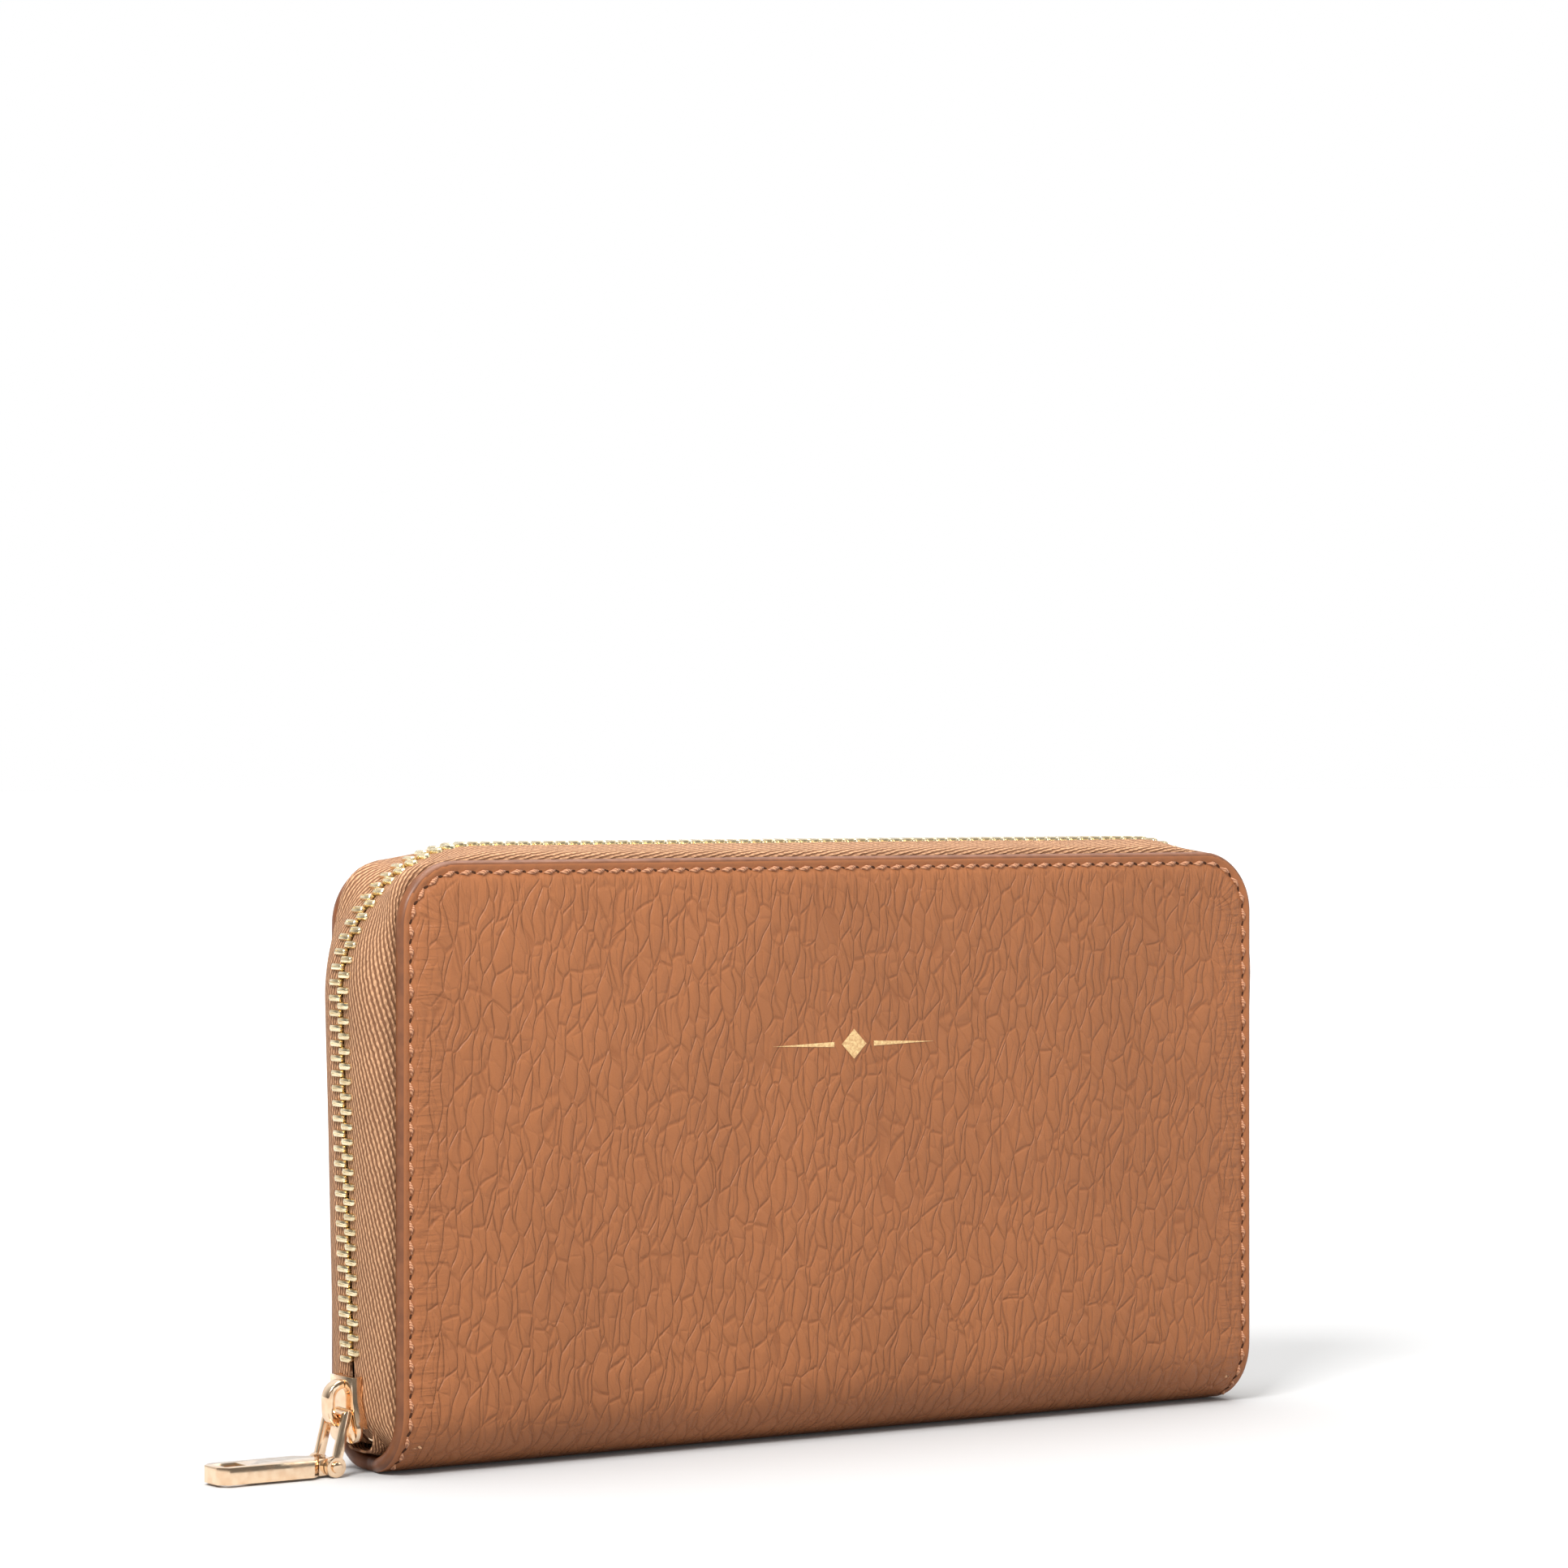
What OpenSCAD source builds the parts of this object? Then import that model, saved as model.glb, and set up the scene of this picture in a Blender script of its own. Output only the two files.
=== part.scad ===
// Zip around wallet standing on its spine: X is its width, -Y its front, Z up.
// The origin is on the ground, under the middle of the spine.

/* [Cover] */
// Width of a cover panel
panel_w = 181; // [150:0.5:220]
// Height of a cover panel's top edge above the ground
panel_h = 101.7; // [85:0.1:130]
// Thickness over both covers
wallet_t = 24; // [23:0.5:32]
// Thickness of the cover leather
leather_t = 1.3; // [1:0.1:1.6]
// Radius of a cover panel's upper corners
top_corner_r = 11; // [9:0.5:16]
// Radius of the cover's lower corners, where it narrows to the spine
low_corner_r = 4; // [1:0.5:8]
// Radius of the bend from a panel into the spine
spine_bend_r = 8; // [5:0.5:9]
// Height of the creases that the two halves fold about
crease_z = 9; // [8.8:0.1:12]

/* [Lining and pockets] */
// Thickness of the stiffening board
board_t = 0.5; // [0.4:0.05:0.7]
// Thickness of the lining
lining_t = 0.7; // [0.5:0.05:0.8]
// Thickness of one card slot panel
slot_t = 0.45; // [0.35:0.05:0.5]
// Distance from a cover panel's end to the end of a card slot panel
slot_inset = 3.5; // [3.5:0.5:20]
// Drop from a cover panel's top edge to the tallest card slot panel
slot_drop = 23.7; // [18:0.1:40]
// Drop from one card slot panel to the next
slot_step = 13; // [8:0.5:14]
// Half of the room inside the coin pocket
coin_gap = 2.3; // [2.2:0.1:2.6]
// Thickness of a coin pocket wall
coin_wall_t = 0.7; // [0.5:0.05:0.8]
// Distance from a cover panel's end to the coin pocket
coin_inset = 6.5; // [6.5:0.5:12]
// Drop from a cover panel's top edge to the coin pocket walls' top edge
coin_drop = 19.2; // [16:0.1:30]
// Length of the coin zip's pull from its pivot
coin_pull_l = 13.6; // [10:0.1:13.8]
// Thickness of the gusset fabric
gusset_t = 0.5; // [0.4:0.05:0.6]
// Depth of the fold of a gusset
gusset_depth = 16; // [8:0.5:20]

/* [Zip] */
// Pitch of the teeth along one tape
tooth_pitch = 2.5; // [2.3:0.1:3]
// Thickness of a tooth along the chain
tooth_t = 1.05; // [0.8:0.05:1.1]
// Distance from the chain's middle to the end of a tooth
tooth_reach = 3; // [2.6:0.1:3]
// Distance that a tooth's head passes the chain's middle
tooth_lap = 0.75; // [0.5:0.05:0.9]
// Thickness of the zip tape
tape_t = 0.44; // [0.3:0.02:0.5]
// Distance that the chain stands out of a panel's top edge
bulge_top = 1.7; // [1:0.1:4]
// Distance that the chain stands out of a panel's end, at the foot of the zip
bulge_low = 1.7; // [1:0.1:3]
// Outward lean of the zip's end runs, in degrees
zip_lean = 2; // [0:0.1:2.5]
// Radius of the chain's middle line round an upper corner
zip_corner_r = 24; // [12:0.5:30]

/* [Slider and pull] */
// Height of the slider's middle with the zip closed
slider_z = 10.9; // [10.5:0.1:14]
// Length of the slider plates
slider_l = 11; // [10:0.1:12]
// Width of the slider plates at the closed end
slider_w = 7.4; // [7:0.1:8]
// Thickness of one slider plate
plate_t = 1.1; // [0.8:0.05:1.2]
// Distance between the two slider plates
plate_gap = 3; // [2.8:0.05:3.2]
// Width of the bridge
bridge_w = 2.5; // [2:0.1:3]
// Outer radius of the bridge's ends
bridge_r = 3.3; // [3:0.1:3.6]
// Radius of the link's bar in the bridge
bar_r = 0.7; // [0.5:0.05:0.75]
// Height of the pull's pin above the ground
pin_z = 1.8; // [1.7:0.05:2]
// Distance that the pull's pin stands out of the chain's middle line
pin_out = 5.6; // [5:0.1:6.5]
// Radius of the pull's pin
pin_r = 0.7; // [0.5:0.05:0.8]
// Length of the pull tab from its pin to its outer end
pull_l = 21.5; // [16:0.5:26]
// Width of the pull tab
pull_w = 7.4; // [6.6:0.1:9]
// Thickness of the pull tab
pull_t = 2.8; // [2:0.1:3]

/* [Clearances] */
// Running clearance of the link's bar, the pin and the slider's slots
run_gap = 0.08; // [0.05:0.01:0.1]
// Gap between the spine and a half at the crease
crease_gap = 0.2; // [0.15:0.05:0.3]

/* [Hidden] */
$fn = 48;

LEATHER = [0.70, 0.46, 0.31];
LINING = [0.80, 0.66, 0.50];
TAPE = [0.76, 0.58, 0.43];
THREAD = [0.80, 0.60, 0.50];
BOARD = [0.62, 0.55, 0.45];
GOLD = [0.86, 0.72, 0.42];
ROSE_GOLD = [0.85, 0.62, 0.52];

// Layers of one half, as distances from the middle plane
face_y = wallet_t / 2;
cover_in_y = face_y - leather_t;
board_in_y = cover_in_y - board_t;
lining_in_y = board_in_y - lining_t;
coin_out_y = coin_gap + coin_wall_t;
card_in_y = lining_in_y - 4 * slot_t;

// Outlines of the card slots and the coin pocket
slot_w = panel_w - 2 * slot_inset;
slot_top_z = panel_h - slot_drop;
coin_w = panel_w - 2 * coin_inset;
coin_top_z = panel_h - coin_drop;

// Margins of the layers inside the cover's outline
tape_margin = 8;
board_margin = 8.6;
lining_margin = 1.5;
lining_foot_z = crease_z + crease_gap + 0.6;
stitch_margin = 2;
stitch_pitch = 3.25;
stitch_l = 2.3;
stitch_w = 0.7;
stitch_rise = 0.25;
layer_gap = 0.05;
card_foot_z = 14;
board_rise = 2;
stitch_end_s = 3;
last_tooth_gap = 2;

// The chain's middle line: an end run that leans out, a round corner and the top run
zip_foot_z = 10.2;
chain_top_z = panel_h + bulge_top;
corner_z = chain_top_z - zip_corner_r;
run_end_z = corner_z - zip_corner_r * sin(zip_lean);
function run_x(z) = -(panel_w / 2 + bulge_low + (z - zip_foot_z) * tan(zip_lean));
corner_x = run_x(run_end_z) + zip_corner_r * cos(zip_lean);
run_l = (run_end_z - zip_foot_z) / cos(zip_lean);
arc_l = zip_corner_r * (90 + zip_lean) * PI / 180;
half_chain_l = run_l + arc_l - corner_x;

// Place on the chain at the distance s from its foot: [x, z, angle of the outward normal]
function half_chain(s) =
    s < run_l ? [run_x(zip_foot_z + s * cos(zip_lean)), zip_foot_z + s * cos(zip_lean), 180 + zip_lean]
    : s < run_l + arc_l ? arc_place(180 + zip_lean - (s - run_l) / zip_corner_r * 180 / PI)
    : [corner_x + s - run_l - arc_l, chain_top_z, 90];
function arc_place(a) = [corner_x + zip_corner_r * cos(a), corner_z + zip_corner_r * sin(a), a];
function mirrored(p) = [-p[0], p[1], 180 - p[2]];
function chain(s) = s <= half_chain_l ? half_chain(s) : mirrored(half_chain(2 * half_chain_l - s));

// Place on the cover's outline, drawn in by inset, that is nearest to a place on the chain
function edge(p, inset) =
    let (sx = p[0] < 0 ? -1 : 1, cx = panel_w / 2 - top_corner_r, cz = panel_h - top_corner_r,
        dx = abs(p[0]) - cx, dz = p[1] - cz, a = atan2(dz, dx), r = top_corner_r - inset)
    dz <= 0 ? [sx * (panel_w / 2 - inset), p[1], sx < 0 ? 180 : 0]
    : dx <= 0 ? [p[0], panel_h - inset, 90]
    : [sx * (cx + r * cos(a)), cz + r * sin(a), sx < 0 ? 180 - a : a];

// Stations of the tape: the end runs' ends, the corners every few degrees, the top's middle
ARC_STEPS = 14;
left_stations = concat(
    [half_chain(0), half_chain(run_l * 0.5), half_chain(run_l - 0.01)],
    [for (i = [1:ARC_STEPS]) arc_place(180 + zip_lean - i * (90 + zip_lean) / ARC_STEPS)]);
stations = concat(left_stations, [for (i = [len(left_stations) - 1:-1:0]) mirrored(left_stations[i])]);

// ---- shapes used more than once ----

module outline(inset, foot) {
    // Cover panel's outline seen from the front, drawn in by inset and cut off at foot
    r = max(top_corner_r - inset, 0.5);
    x = panel_w / 2 - inset;
    top = panel_h - inset;
    union() {
        translate([-x, foot]) square([2 * x, top - r - foot]);
        translate([-x + r, foot]) square([2 * (x - r), top - foot]);
        for (sx = [-1, 1]) translate([sx * (x - r), top - r]) circle(r);
    }
}

// A flat sheet of the outline, from the distance near to the distance far in front of the middle
module sheet(inset, foot, near, far) {
    translate([0, -near, 0]) rotate([90, 0, 0]) linear_extrude(far - near) outline(inset, foot);
}

module block(x, y, z) {
    // A box from three [low, high] pairs
    translate([x[0], y[0], z[0]]) cube([x[1] - x[0], y[1] - y[0], z[1] - z[0]]);
}

module behind() {
    mirror([0, 1, 0]) children();
}

// ---- one half of the wallet, drawn as the front one ----

module half_cover() {
    sheet(0, crease_z + crease_gap, cover_in_y, face_y);
}

module half_board() {
    sheet(board_margin, lining_foot_z + board_rise, board_in_y + layer_gap, cover_in_y - layer_gap);
}

module half_lining() {
    sheet(lining_margin, lining_foot_z, lining_in_y, board_in_y);
}

// Card slot panel number n, counted from the lining inwards
module card_slot(n) {
    out_y = lining_in_y - (n - 1) * slot_t;
    block([-slot_w / 2, slot_w / 2], [-out_y, -out_y + slot_t],
        [card_foot_z, slot_top_z - (n - 1) * slot_step]);
}

module place_on(p) {
    // Local X points out of the wallet, local Z along the chain
    translate([p[0], 0, p[1]]) rotate([0, -p[2], 0]) children();
}

function point_at(p, out, v) = [p[0] + out * cos(p[2]), -v, p[1] + out * sin(p[2])];

function tape_section(p) = let (e = edge(p, 0), t = tape_t / 2, m = cover_in_y - layer_gap)
    [
        point_at(e, -tape_margin, m),
        point_at(e, -0.8, m),
        point_at(p, t, face_y * 0.45),
        point_at(p, t, tooth_reach),
        point_at(p, -t, tooth_reach),
        point_at(p, -t, face_y * 0.46),
        point_at(e, -1.3, board_in_y + layer_gap),
        point_at(e, -tape_margin, board_in_y + layer_gap)
    ];

module half_tape() {
    n = len(stations);
    m = 8;
    points = [for (p = stations) each tape_section(p)];
    sides = [for (i = [0:n - 2], j = [0:m - 1])
        let (a = i * m + j, b = i * m + (j + 1) % m) each [[a, a + m, b], [b, a + m, b + m]]];
    ends = [[for (j = [0:m - 1]) j], [for (j = [m - 1:-1:0]) (n - 1) * m + j]];
    polyhedron(points, concat(sides, ends), convexity = 6);
}

// One tooth: shank outside, waist and head at the chain's middle
module tooth() {
    translate([0, 0, -tooth_t / 2]) linear_extrude(tooth_t) polygon([
        [-1, -tooth_reach], [-1.25, -1.3], [-0.8, -0.9], [-1.15, 0.1], [-0.7, tooth_lap],
        [0.7, tooth_lap], [1.15, 0.1], [0.8, -0.9], [1.25, -1.3], [1, -tooth_reach]]);
}

// Teeth whose distances from the chain's foot lie between low and high
module teeth(low, high, offset) {
    for (i = [ceil((low - offset) / tooth_pitch):floor((high - offset) / tooth_pitch)])
        place_on(chain(offset + i * tooth_pitch)) tooth();
}

slider_tooth_gap = 1.4;
first_tooth_s = slider_z + slider_l / 2 + slider_tooth_gap - zip_foot_z;
last_tooth_s = 2 * half_chain_l - last_tooth_gap;
back_offset = tooth_pitch / 2;

// Stitches round a cover panel
module stitching() {
    count = floor((2 * half_chain_l - 2 * stitch_end_s) / stitch_pitch);
    for (i = [0:count]) place_on(edge(chain(stitch_end_s + i * stitch_pitch), stitch_margin))
        block([-stitch_w / 2, stitch_w / 2], [-face_y - stitch_rise, -face_y],
            [-stitch_l / 2, stitch_l / 2]);
}

// ---- the spine, on the middle body ----

module spine_section(inset) {
    // U of the spine seen from the side, drawn in by inset
    r = spine_bend_r - inset;
    y = face_y - inset;
    union() {
        translate([-y, spine_bend_r]) square([2 * y, crease_z - spine_bend_r]);
        translate([-y + r, inset]) square([2 * (y - r), crease_z - inset]);
        for (s = [-1, 1]) translate([s * (y - r), spine_bend_r]) circle(r);
    }
}

module spine_strip(out, inn, end_inset) {
    x = panel_w / 2 - end_inset;
    r = low_corner_r;
    intersection() {
        translate([-x, 0, 0]) rotate([90, 0, 90]) linear_extrude(2 * x) difference() {
            spine_section(out);
            spine_section(inn);
            translate([-face_y, crease_z]) square([2 * face_y, spine_bend_r]);
        }
        translate([0, face_y + 1, 0]) rotate([90, 0, 0]) linear_extrude(2 * face_y + 2) union() {
            translate([-x + r, -1]) square([2 * (x - r), crease_z + 2]);
            translate([-x, r]) square([2 * x, crease_z + 1 - r]);
            for (s = [-1, 1]) translate([s * (x - r), r]) circle(r);
        }
    }
}

module spine_cover() {
    color(LEATHER) spine_strip(0, leather_t, 0);
}

module spine_lining() {
    color(LINING) spine_strip(leather_t, leather_t + lining_t, lining_margin);
}

spine_floor_z = leather_t + lining_t;

// ---- coin pocket ----

coin_chain_z = coin_top_z + 2.8;
coin_strip_t = 1;
coin_tape_t = 0.4;
coin_tape_w = 7;
coin_tape_inset = 4.8;
coin_tooth_pitch = 2.2;
coin_tooth_t = 0.9;
coin_tooth_reach = 1.7;
coin_tooth_lap = 0.45;
coin_tooth_half = 0.8;
coin_chain_x = coin_w / 2 - 8;
coin_slider_x = coin_chain_x - 6;
coin_slider_l = 8;
coin_plate_t = 0.8;
coin_plate_gap = 2;
coin_flange_w = 0.4;

module coin_wall() {
    block([-coin_w / 2, coin_w / 2], [-coin_out_y, -coin_gap], [spine_floor_z, coin_top_z]);
}

module coin_front_wall() { color(LINING) coin_wall(); }
module coin_back_wall() { color(LINING) behind() coin_wall(); }

module coin_side_strip() {
    t = coin_strip_t;
    color(LINING) union() {
        block([-coin_w / 2, coin_w / 2], [-coin_gap, coin_gap], [spine_floor_z, spine_floor_z + t]);
        for (s = [-1, 1]) translate([s * (coin_w / 2 - t / 2), 0, 0])
            block([-t / 2, t / 2], [-coin_gap, coin_gap], [spine_floor_z, coin_top_z]);
    }
}

module coin_tape() {
    y = coin_out_y + coin_tape_t;
    t = coin_tape_t / 2;
    foot_z = coin_top_z - coin_tape_w;
    l = coin_w - 2 * coin_tape_inset;
    translate([-l / 2, 0, 0]) rotate([90, 0, 90]) linear_extrude(l) polygon([
        [-y, foot_z], [-coin_out_y, foot_z], [-coin_out_y, coin_chain_z - t],
        [-coin_tooth_reach, coin_chain_z - t], [-coin_tooth_reach, coin_chain_z + t],
        [-y, coin_chain_z + t]]);
}

module coin_zip_tape_front() { color(TAPE) coin_tape(); }
module coin_zip_tape_back() { color(TAPE) behind() coin_tape(); }

// Teeth stop short of the slider, as its closed end holds the last ones
module coin_teeth(offset) {
    last = coin_slider_x - coin_slider_l / 2 - coin_tooth_t;
    for (x = [-coin_chain_x + offset:coin_tooth_pitch:last]) translate([x, 0, coin_chain_z])
        block([-coin_tooth_t / 2, coin_tooth_t / 2], [-coin_tooth_reach, coin_tooth_lap],
            [-coin_tooth_half, coin_tooth_half]);
}

module coin_teeth_front() { color(GOLD) coin_teeth(0); }
module coin_teeth_back() { color(GOLD) behind() coin_teeth(coin_tooth_pitch / 2); }

module coin_slider() {
    h = coin_plate_gap / 2;
    l = coin_slider_l / 2;
    w = coin_gap;
    color(GOLD) translate([coin_slider_x, 0, coin_chain_z]) union() {
        for (s = [-1, 1]) scale([1, 1, s]) {
            block([-l, l], [-w, w], [h, h + coin_plate_t]);
            for (t = [-1, 1]) scale([1, t, 1])
                block([-l, l], [w - coin_flange_w, w], [coin_tape_t / 2 + 0.2, h]);
        }
        block([l - 2.5, l - 0.5], [-0.6, 0.6], [-h, h]);
    }
}

coin_bridge_z = coin_chain_z + coin_plate_gap / 2 + coin_plate_t;
coin_bridge_r = 2.2;
coin_bridge_hole_r = 1.5;
coin_bridge_run = 0.9;
coin_bridge_w = 1.6;
coin_bar_z = coin_bridge_z + 0.95;
coin_bar_back = 1.2;
coin_bar_r = 0.45;
coin_arm_w = 0.8;
coin_arm_l = 5;
coin_arms_half = 1.9;
coin_blade_half = 2.2;

module arch(r) {
    // Upper half of a stadium
    intersection() {
        union() {
            for (s = [-1, 1]) translate([s * coin_bridge_run, 0]) circle(r);
            translate([-coin_bridge_run, -r]) square([2 * coin_bridge_run, 2 * r]);
        }
        translate([-coin_slider_l, 0]) square([2 * coin_slider_l, coin_slider_l]);
    }
}

module coin_slider_bridge() {
    color(GOLD) translate([coin_slider_x, coin_bridge_w / 2, coin_bridge_z]) rotate([90, 0, 0])
        linear_extrude(coin_bridge_w) difference() {
            arch(coin_bridge_r);
            arch(coin_bridge_hole_r);
        }
}

module coin_pull() {
    bar = coin_bar_r;
    l = coin_arm_l;
    w = coin_arms_half;
    color(GOLD) translate([coin_slider_x - coin_bar_back, 0, coin_bar_z]) union() {
        translate([0, w, 0]) rotate([90, 0, 0]) cylinder(h = 2 * w, r = bar);
        for (s = [-1, 1]) scale([1, s, 1]) block([-l, bar], [w - coin_arm_w, w], [-bar, bar]);
        block([-l - coin_arm_w, -l], [-w, w], [-bar, bar]);
        block([-coin_pull_l, -l - coin_arm_w], [-coin_blade_half, coin_blade_half], [-bar, bar]);
    }
}

// ---- gussets: a folded strip between a half's lining and the coin pocket, drawn front left ----

gusset_foot_z = 13;
gusset_top_z = panel_h - 13.7;
gusset_edge_x = -panel_w / 2 + lining_margin + gusset_t;
gusset_card_gap = 0.4;
gusset_hem = 2;

// Outline of a strip of thickness t that follows the corner points of a path
function side_point(path, i, t) =
    let (a = path[max(i - 1, 0)], b = path[i], c = path[min(i + 1, len(path) - 1)],
        u = i > 0 ? (b - a) / norm(b - a) : (c - b) / norm(c - b),
        v = i < len(path) - 1 ? (c - b) / norm(c - b) : u,
        n = [-u[1] - v[1], u[0] + v[0]])
    b + n * t / (1 + u * v) / 2;
function strip(path, t) = concat(
    [for (i = [0:len(path) - 1]) side_point(path, i, t)],
    [for (i = [len(path) - 1:-1:0]) side_point(path, i, -t)]);

module gusset() {
    x = gusset_edge_x;
    fold_y = (card_in_y + coin_out_y) / 2;
    wall_y = coin_out_y + gusset_t / 2;
    translate([0, 0, gusset_foot_z]) linear_extrude(gusset_top_z - gusset_foot_z)
        polygon(strip([
            [x, -lining_in_y], [x, -card_in_y + gusset_card_gap], [x + gusset_depth, -fold_y],
            [-coin_w / 2 + gusset_hem, -wall_y], [-coin_w / 2, -wall_y]], gusset_t));
}

module gusset_front_left() { color(LINING) gusset(); }
module gusset_front_right() { color(LINING) mirror([1, 0, 0]) gusset(); }
module gusset_back_left() { color(LINING) behind() gusset(); }
module gusset_back_right() { color(LINING) mirror([1, 0, 0]) behind() gusset(); }

// ---- tape tails, between the chain's foot and the spine ----

tail_fold_z = 3.2;
tail_fold_t = 0.4;
tail_top_z = crease_z - 0.1;
tail_half = face_y * 0.45;
tail_leg_half = 3.8;
tail_leg_w = 1.2;
tail_leg_x = -coin_w / 2 - 0.4;
stop_half = 1.3;
stop_foot_z = 5.4;

module zip_tail(split) {
    // Left tail: two strips past the slider, joined by a fold that stands on the spine's lining
    x = run_x(zip_foot_z);
    t = tape_t / 2;
    y = tail_half;
    z = tail_fold_z + tail_fold_t;
    union() {
        for (s = [-1, 1]) scale([1, s, 1]) block([x - t, x + t], [split, y], [z, tail_top_z]);
        block([x - t, tail_leg_x], [-y, y], [tail_fold_z, z]);
        block([tail_leg_x - tail_leg_w, tail_leg_x], [-tail_leg_half, tail_leg_half],
            [spine_floor_z, tail_fold_z]);
    }
}

module left_zip_tail() { color(TAPE) zip_tail(tooth_reach); }
module right_zip_tail() { color(TAPE) mirror([1, 0, 0]) zip_tail(tooth_reach); }

module zip_bottom_stop() {
    // Box that holds both tapes together where the chain starts
    x = -run_x(zip_foot_z);
    color(GOLD) block([x - stop_half, x + stop_half], [-tooth_reach, tooth_reach],
        [stop_foot_z, tail_top_z]);
}

// ---- named pieces of the two halves ----

module front_cover() { color(LEATHER) half_cover(); }
module back_cover() { color(LEATHER) behind() half_cover(); }
module front_board() { color(BOARD) half_board(); }
module back_board() { color(BOARD) behind() half_board(); }
module front_lining() { color(LINING) half_lining(); }
module back_lining() { color(LINING) behind() half_lining(); }
module front_card_slot(n) { color(LINING) card_slot(n); }
module back_card_slot(n) { color(LINING) behind() card_slot(n); }
module front_zip_tape() { color(TAPE) half_tape(); }
module back_zip_tape() { color(TAPE) behind() half_tape(); }
module front_stitching() { color(THREAD) stitching(); }
module back_stitching() { color(THREAD) behind() stitching(); }

module front_teeth_left() { color(GOLD) teeth(first_tooth_s, run_l, 0); }
module front_teeth_top() { color(GOLD) teeth(run_l + 0.1, 2 * half_chain_l - run_l, 0); }
module front_teeth_right() { color(GOLD) teeth(2 * half_chain_l - run_l + 0.1, last_tooth_s, 0); }
module back_row(low, high) { color(GOLD) behind() teeth(low, high, back_offset); }
module back_teeth_left() { back_row(first_tooth_s, run_l); }
module back_teeth_top() { back_row(run_l + 0.1, 2 * half_chain_l - run_l); }
module back_teeth_right() { back_row(2 * half_chain_l - run_l + 0.1, last_tooth_s); }

// ---- slider: local X points into the wallet, local Z along the chain ----

half_gap = plate_gap / 2;
plate_out = half_gap + plate_t;
slot_half = tape_t / 2 + 0.38;
flange_w = 0.8;
wedge_z = 1.5;
notch_r = 1.4;
lobe_r = 2.5;
lobe_y = 2.4;
lobe_z = -slider_l / 2 + lobe_r;
bridge_z = 0.9;
bridge_t = 1.4;
bridge_in_r = bridge_r - bridge_t;
bridge_half_run = 0.8;

module at_slider() {
    translate([run_x(slider_z), 0, slider_z]) rotate([0, -zip_lean, 0]) children();
}

// Outline of a slider plate: square closed end, two round lobes where the tapes part
module plate_outline() {
    w = slider_w / 2;
    wide = lobe_y + lobe_r;
    difference() {
        union() {
            polygon([[-w, slider_l / 2], [w, slider_l / 2], [w, wedge_z], [wide, lobe_z],
                [-wide, lobe_z], [-w, wedge_z]]);
            for (s = [-1, 1]) translate([s * lobe_y, lobe_z]) circle(lobe_r);
        }
        translate([0, -slider_l / 2 - 0.4]) circle(notch_r);
    }
}

// Upright plate in the plane of the tapes, from the distance near to far outside the chain
module upright(near, far) {
    translate([-near, 0, 0]) rotate([90, 0, -90]) linear_extrude(far - near) children();
}

module flange_outline(s) {
    w = slider_w / 2;
    wide = lobe_y + lobe_r;
    polygon([[s * w, slider_l / 2], [s * (w - flange_w), slider_l / 2],
        [s * (w - flange_w), wedge_z], [s * (wide - flange_w), lobe_z], [s * wide, lobe_z],
        [s * w, wedge_z]]);
}

module slider_body() {
    color(ROSE_GOLD) at_slider() union() {
        upright(half_gap, plate_out) plate_outline();
        upright(-plate_out, -half_gap) plate_outline();
        for (s = [-1, 1]) {
            upright(slot_half, half_gap) flange_outline(s);
            upright(-half_gap, -slot_half) flange_outline(s);
        }
        upright(-half_gap, half_gap)
            polygon([[0, 0.8], [1.1, -1.2], [1.1, -3], [0, -4], [-1.1, -3], [-1.1, -1.2]]);
    }
}

module stadium(r) {
    union() {
        for (s = [-1, 1]) translate([0, s * bridge_half_run]) circle(r);
        translate([-r, -bridge_half_run]) square([2 * r, 2 * bridge_half_run]);
    }
}

module slider_bridge() {
    // Arch in the plane of the wallet's width, standing on the outer plate
    color(ROSE_GOLD) at_slider() translate([-plate_out, bridge_w / 2, bridge_z])
        rotate([90, 0, 0]) linear_extrude(bridge_w) intersection() {
            difference() {
                stadium(bridge_r);
                stadium(bridge_in_r);
            }
            translate([-slider_l, -slider_l]) square([slider_l, 2 * slider_l]);
        }
}

// The link's bar in the low end of the bridge, and its pin above the ground
bar_gap = 0.2;
bar_local = [-plate_out - bar_r - bar_gap, bridge_z - bridge_half_run - bridge_in_r + bar_r + bar_gap];
bar_x = run_x(slider_z) + bar_local[0] * cos(zip_lean) - bar_local[1] * sin(zip_lean);
bar_z = slider_z - bar_local[0] * sin(zip_lean) + bar_local[1] * cos(zip_lean);
pin_x = run_x(slider_z) - pin_out;
link_angle = atan2(bar_x - pin_x, bar_z - pin_z);
link_l = norm([bar_x - pin_x, bar_z - pin_z]);
neck_w = 4.6;
arm_in = neck_w / 2 + 0.15;
arm_t = 1.1;
arm_w = 1.5;
ear_r = pin_z - 0.05;
pin_head_t = 0.5;
pin_head_rise = 0.2;
tab_clip = 1.6;
tab_collar = 4.2;
tab_shoulder = 1.6;
tab_slot_l = 4;
tab_wall = 1.6;

module across(x, z, r, half_w) {
    translate([x, half_w, z]) rotate([90, 0, 0]) cylinder(h = 2 * half_w, r = r);
}

module pull_link() {
    color(ROSE_GOLD) difference() {
        union() {
            across(bar_x, bar_z, bar_r, arm_in + arm_t);
            for (s = [-1, 1]) translate([0, s * (arm_in + arm_t / 2), 0]) {
                across(bar_x, bar_z, arm_w / 2, arm_t / 2);
                across(pin_x, pin_z, ear_r, arm_t / 2);
                translate([pin_x, 0, pin_z]) rotate([0, link_angle, 0])
                    block([-arm_w / 2, arm_w / 2], [-arm_t / 2, arm_t / 2], [0, link_l]);
            }
        }
        across(pin_x, pin_z, pin_r, pull_w);
    }
}

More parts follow.
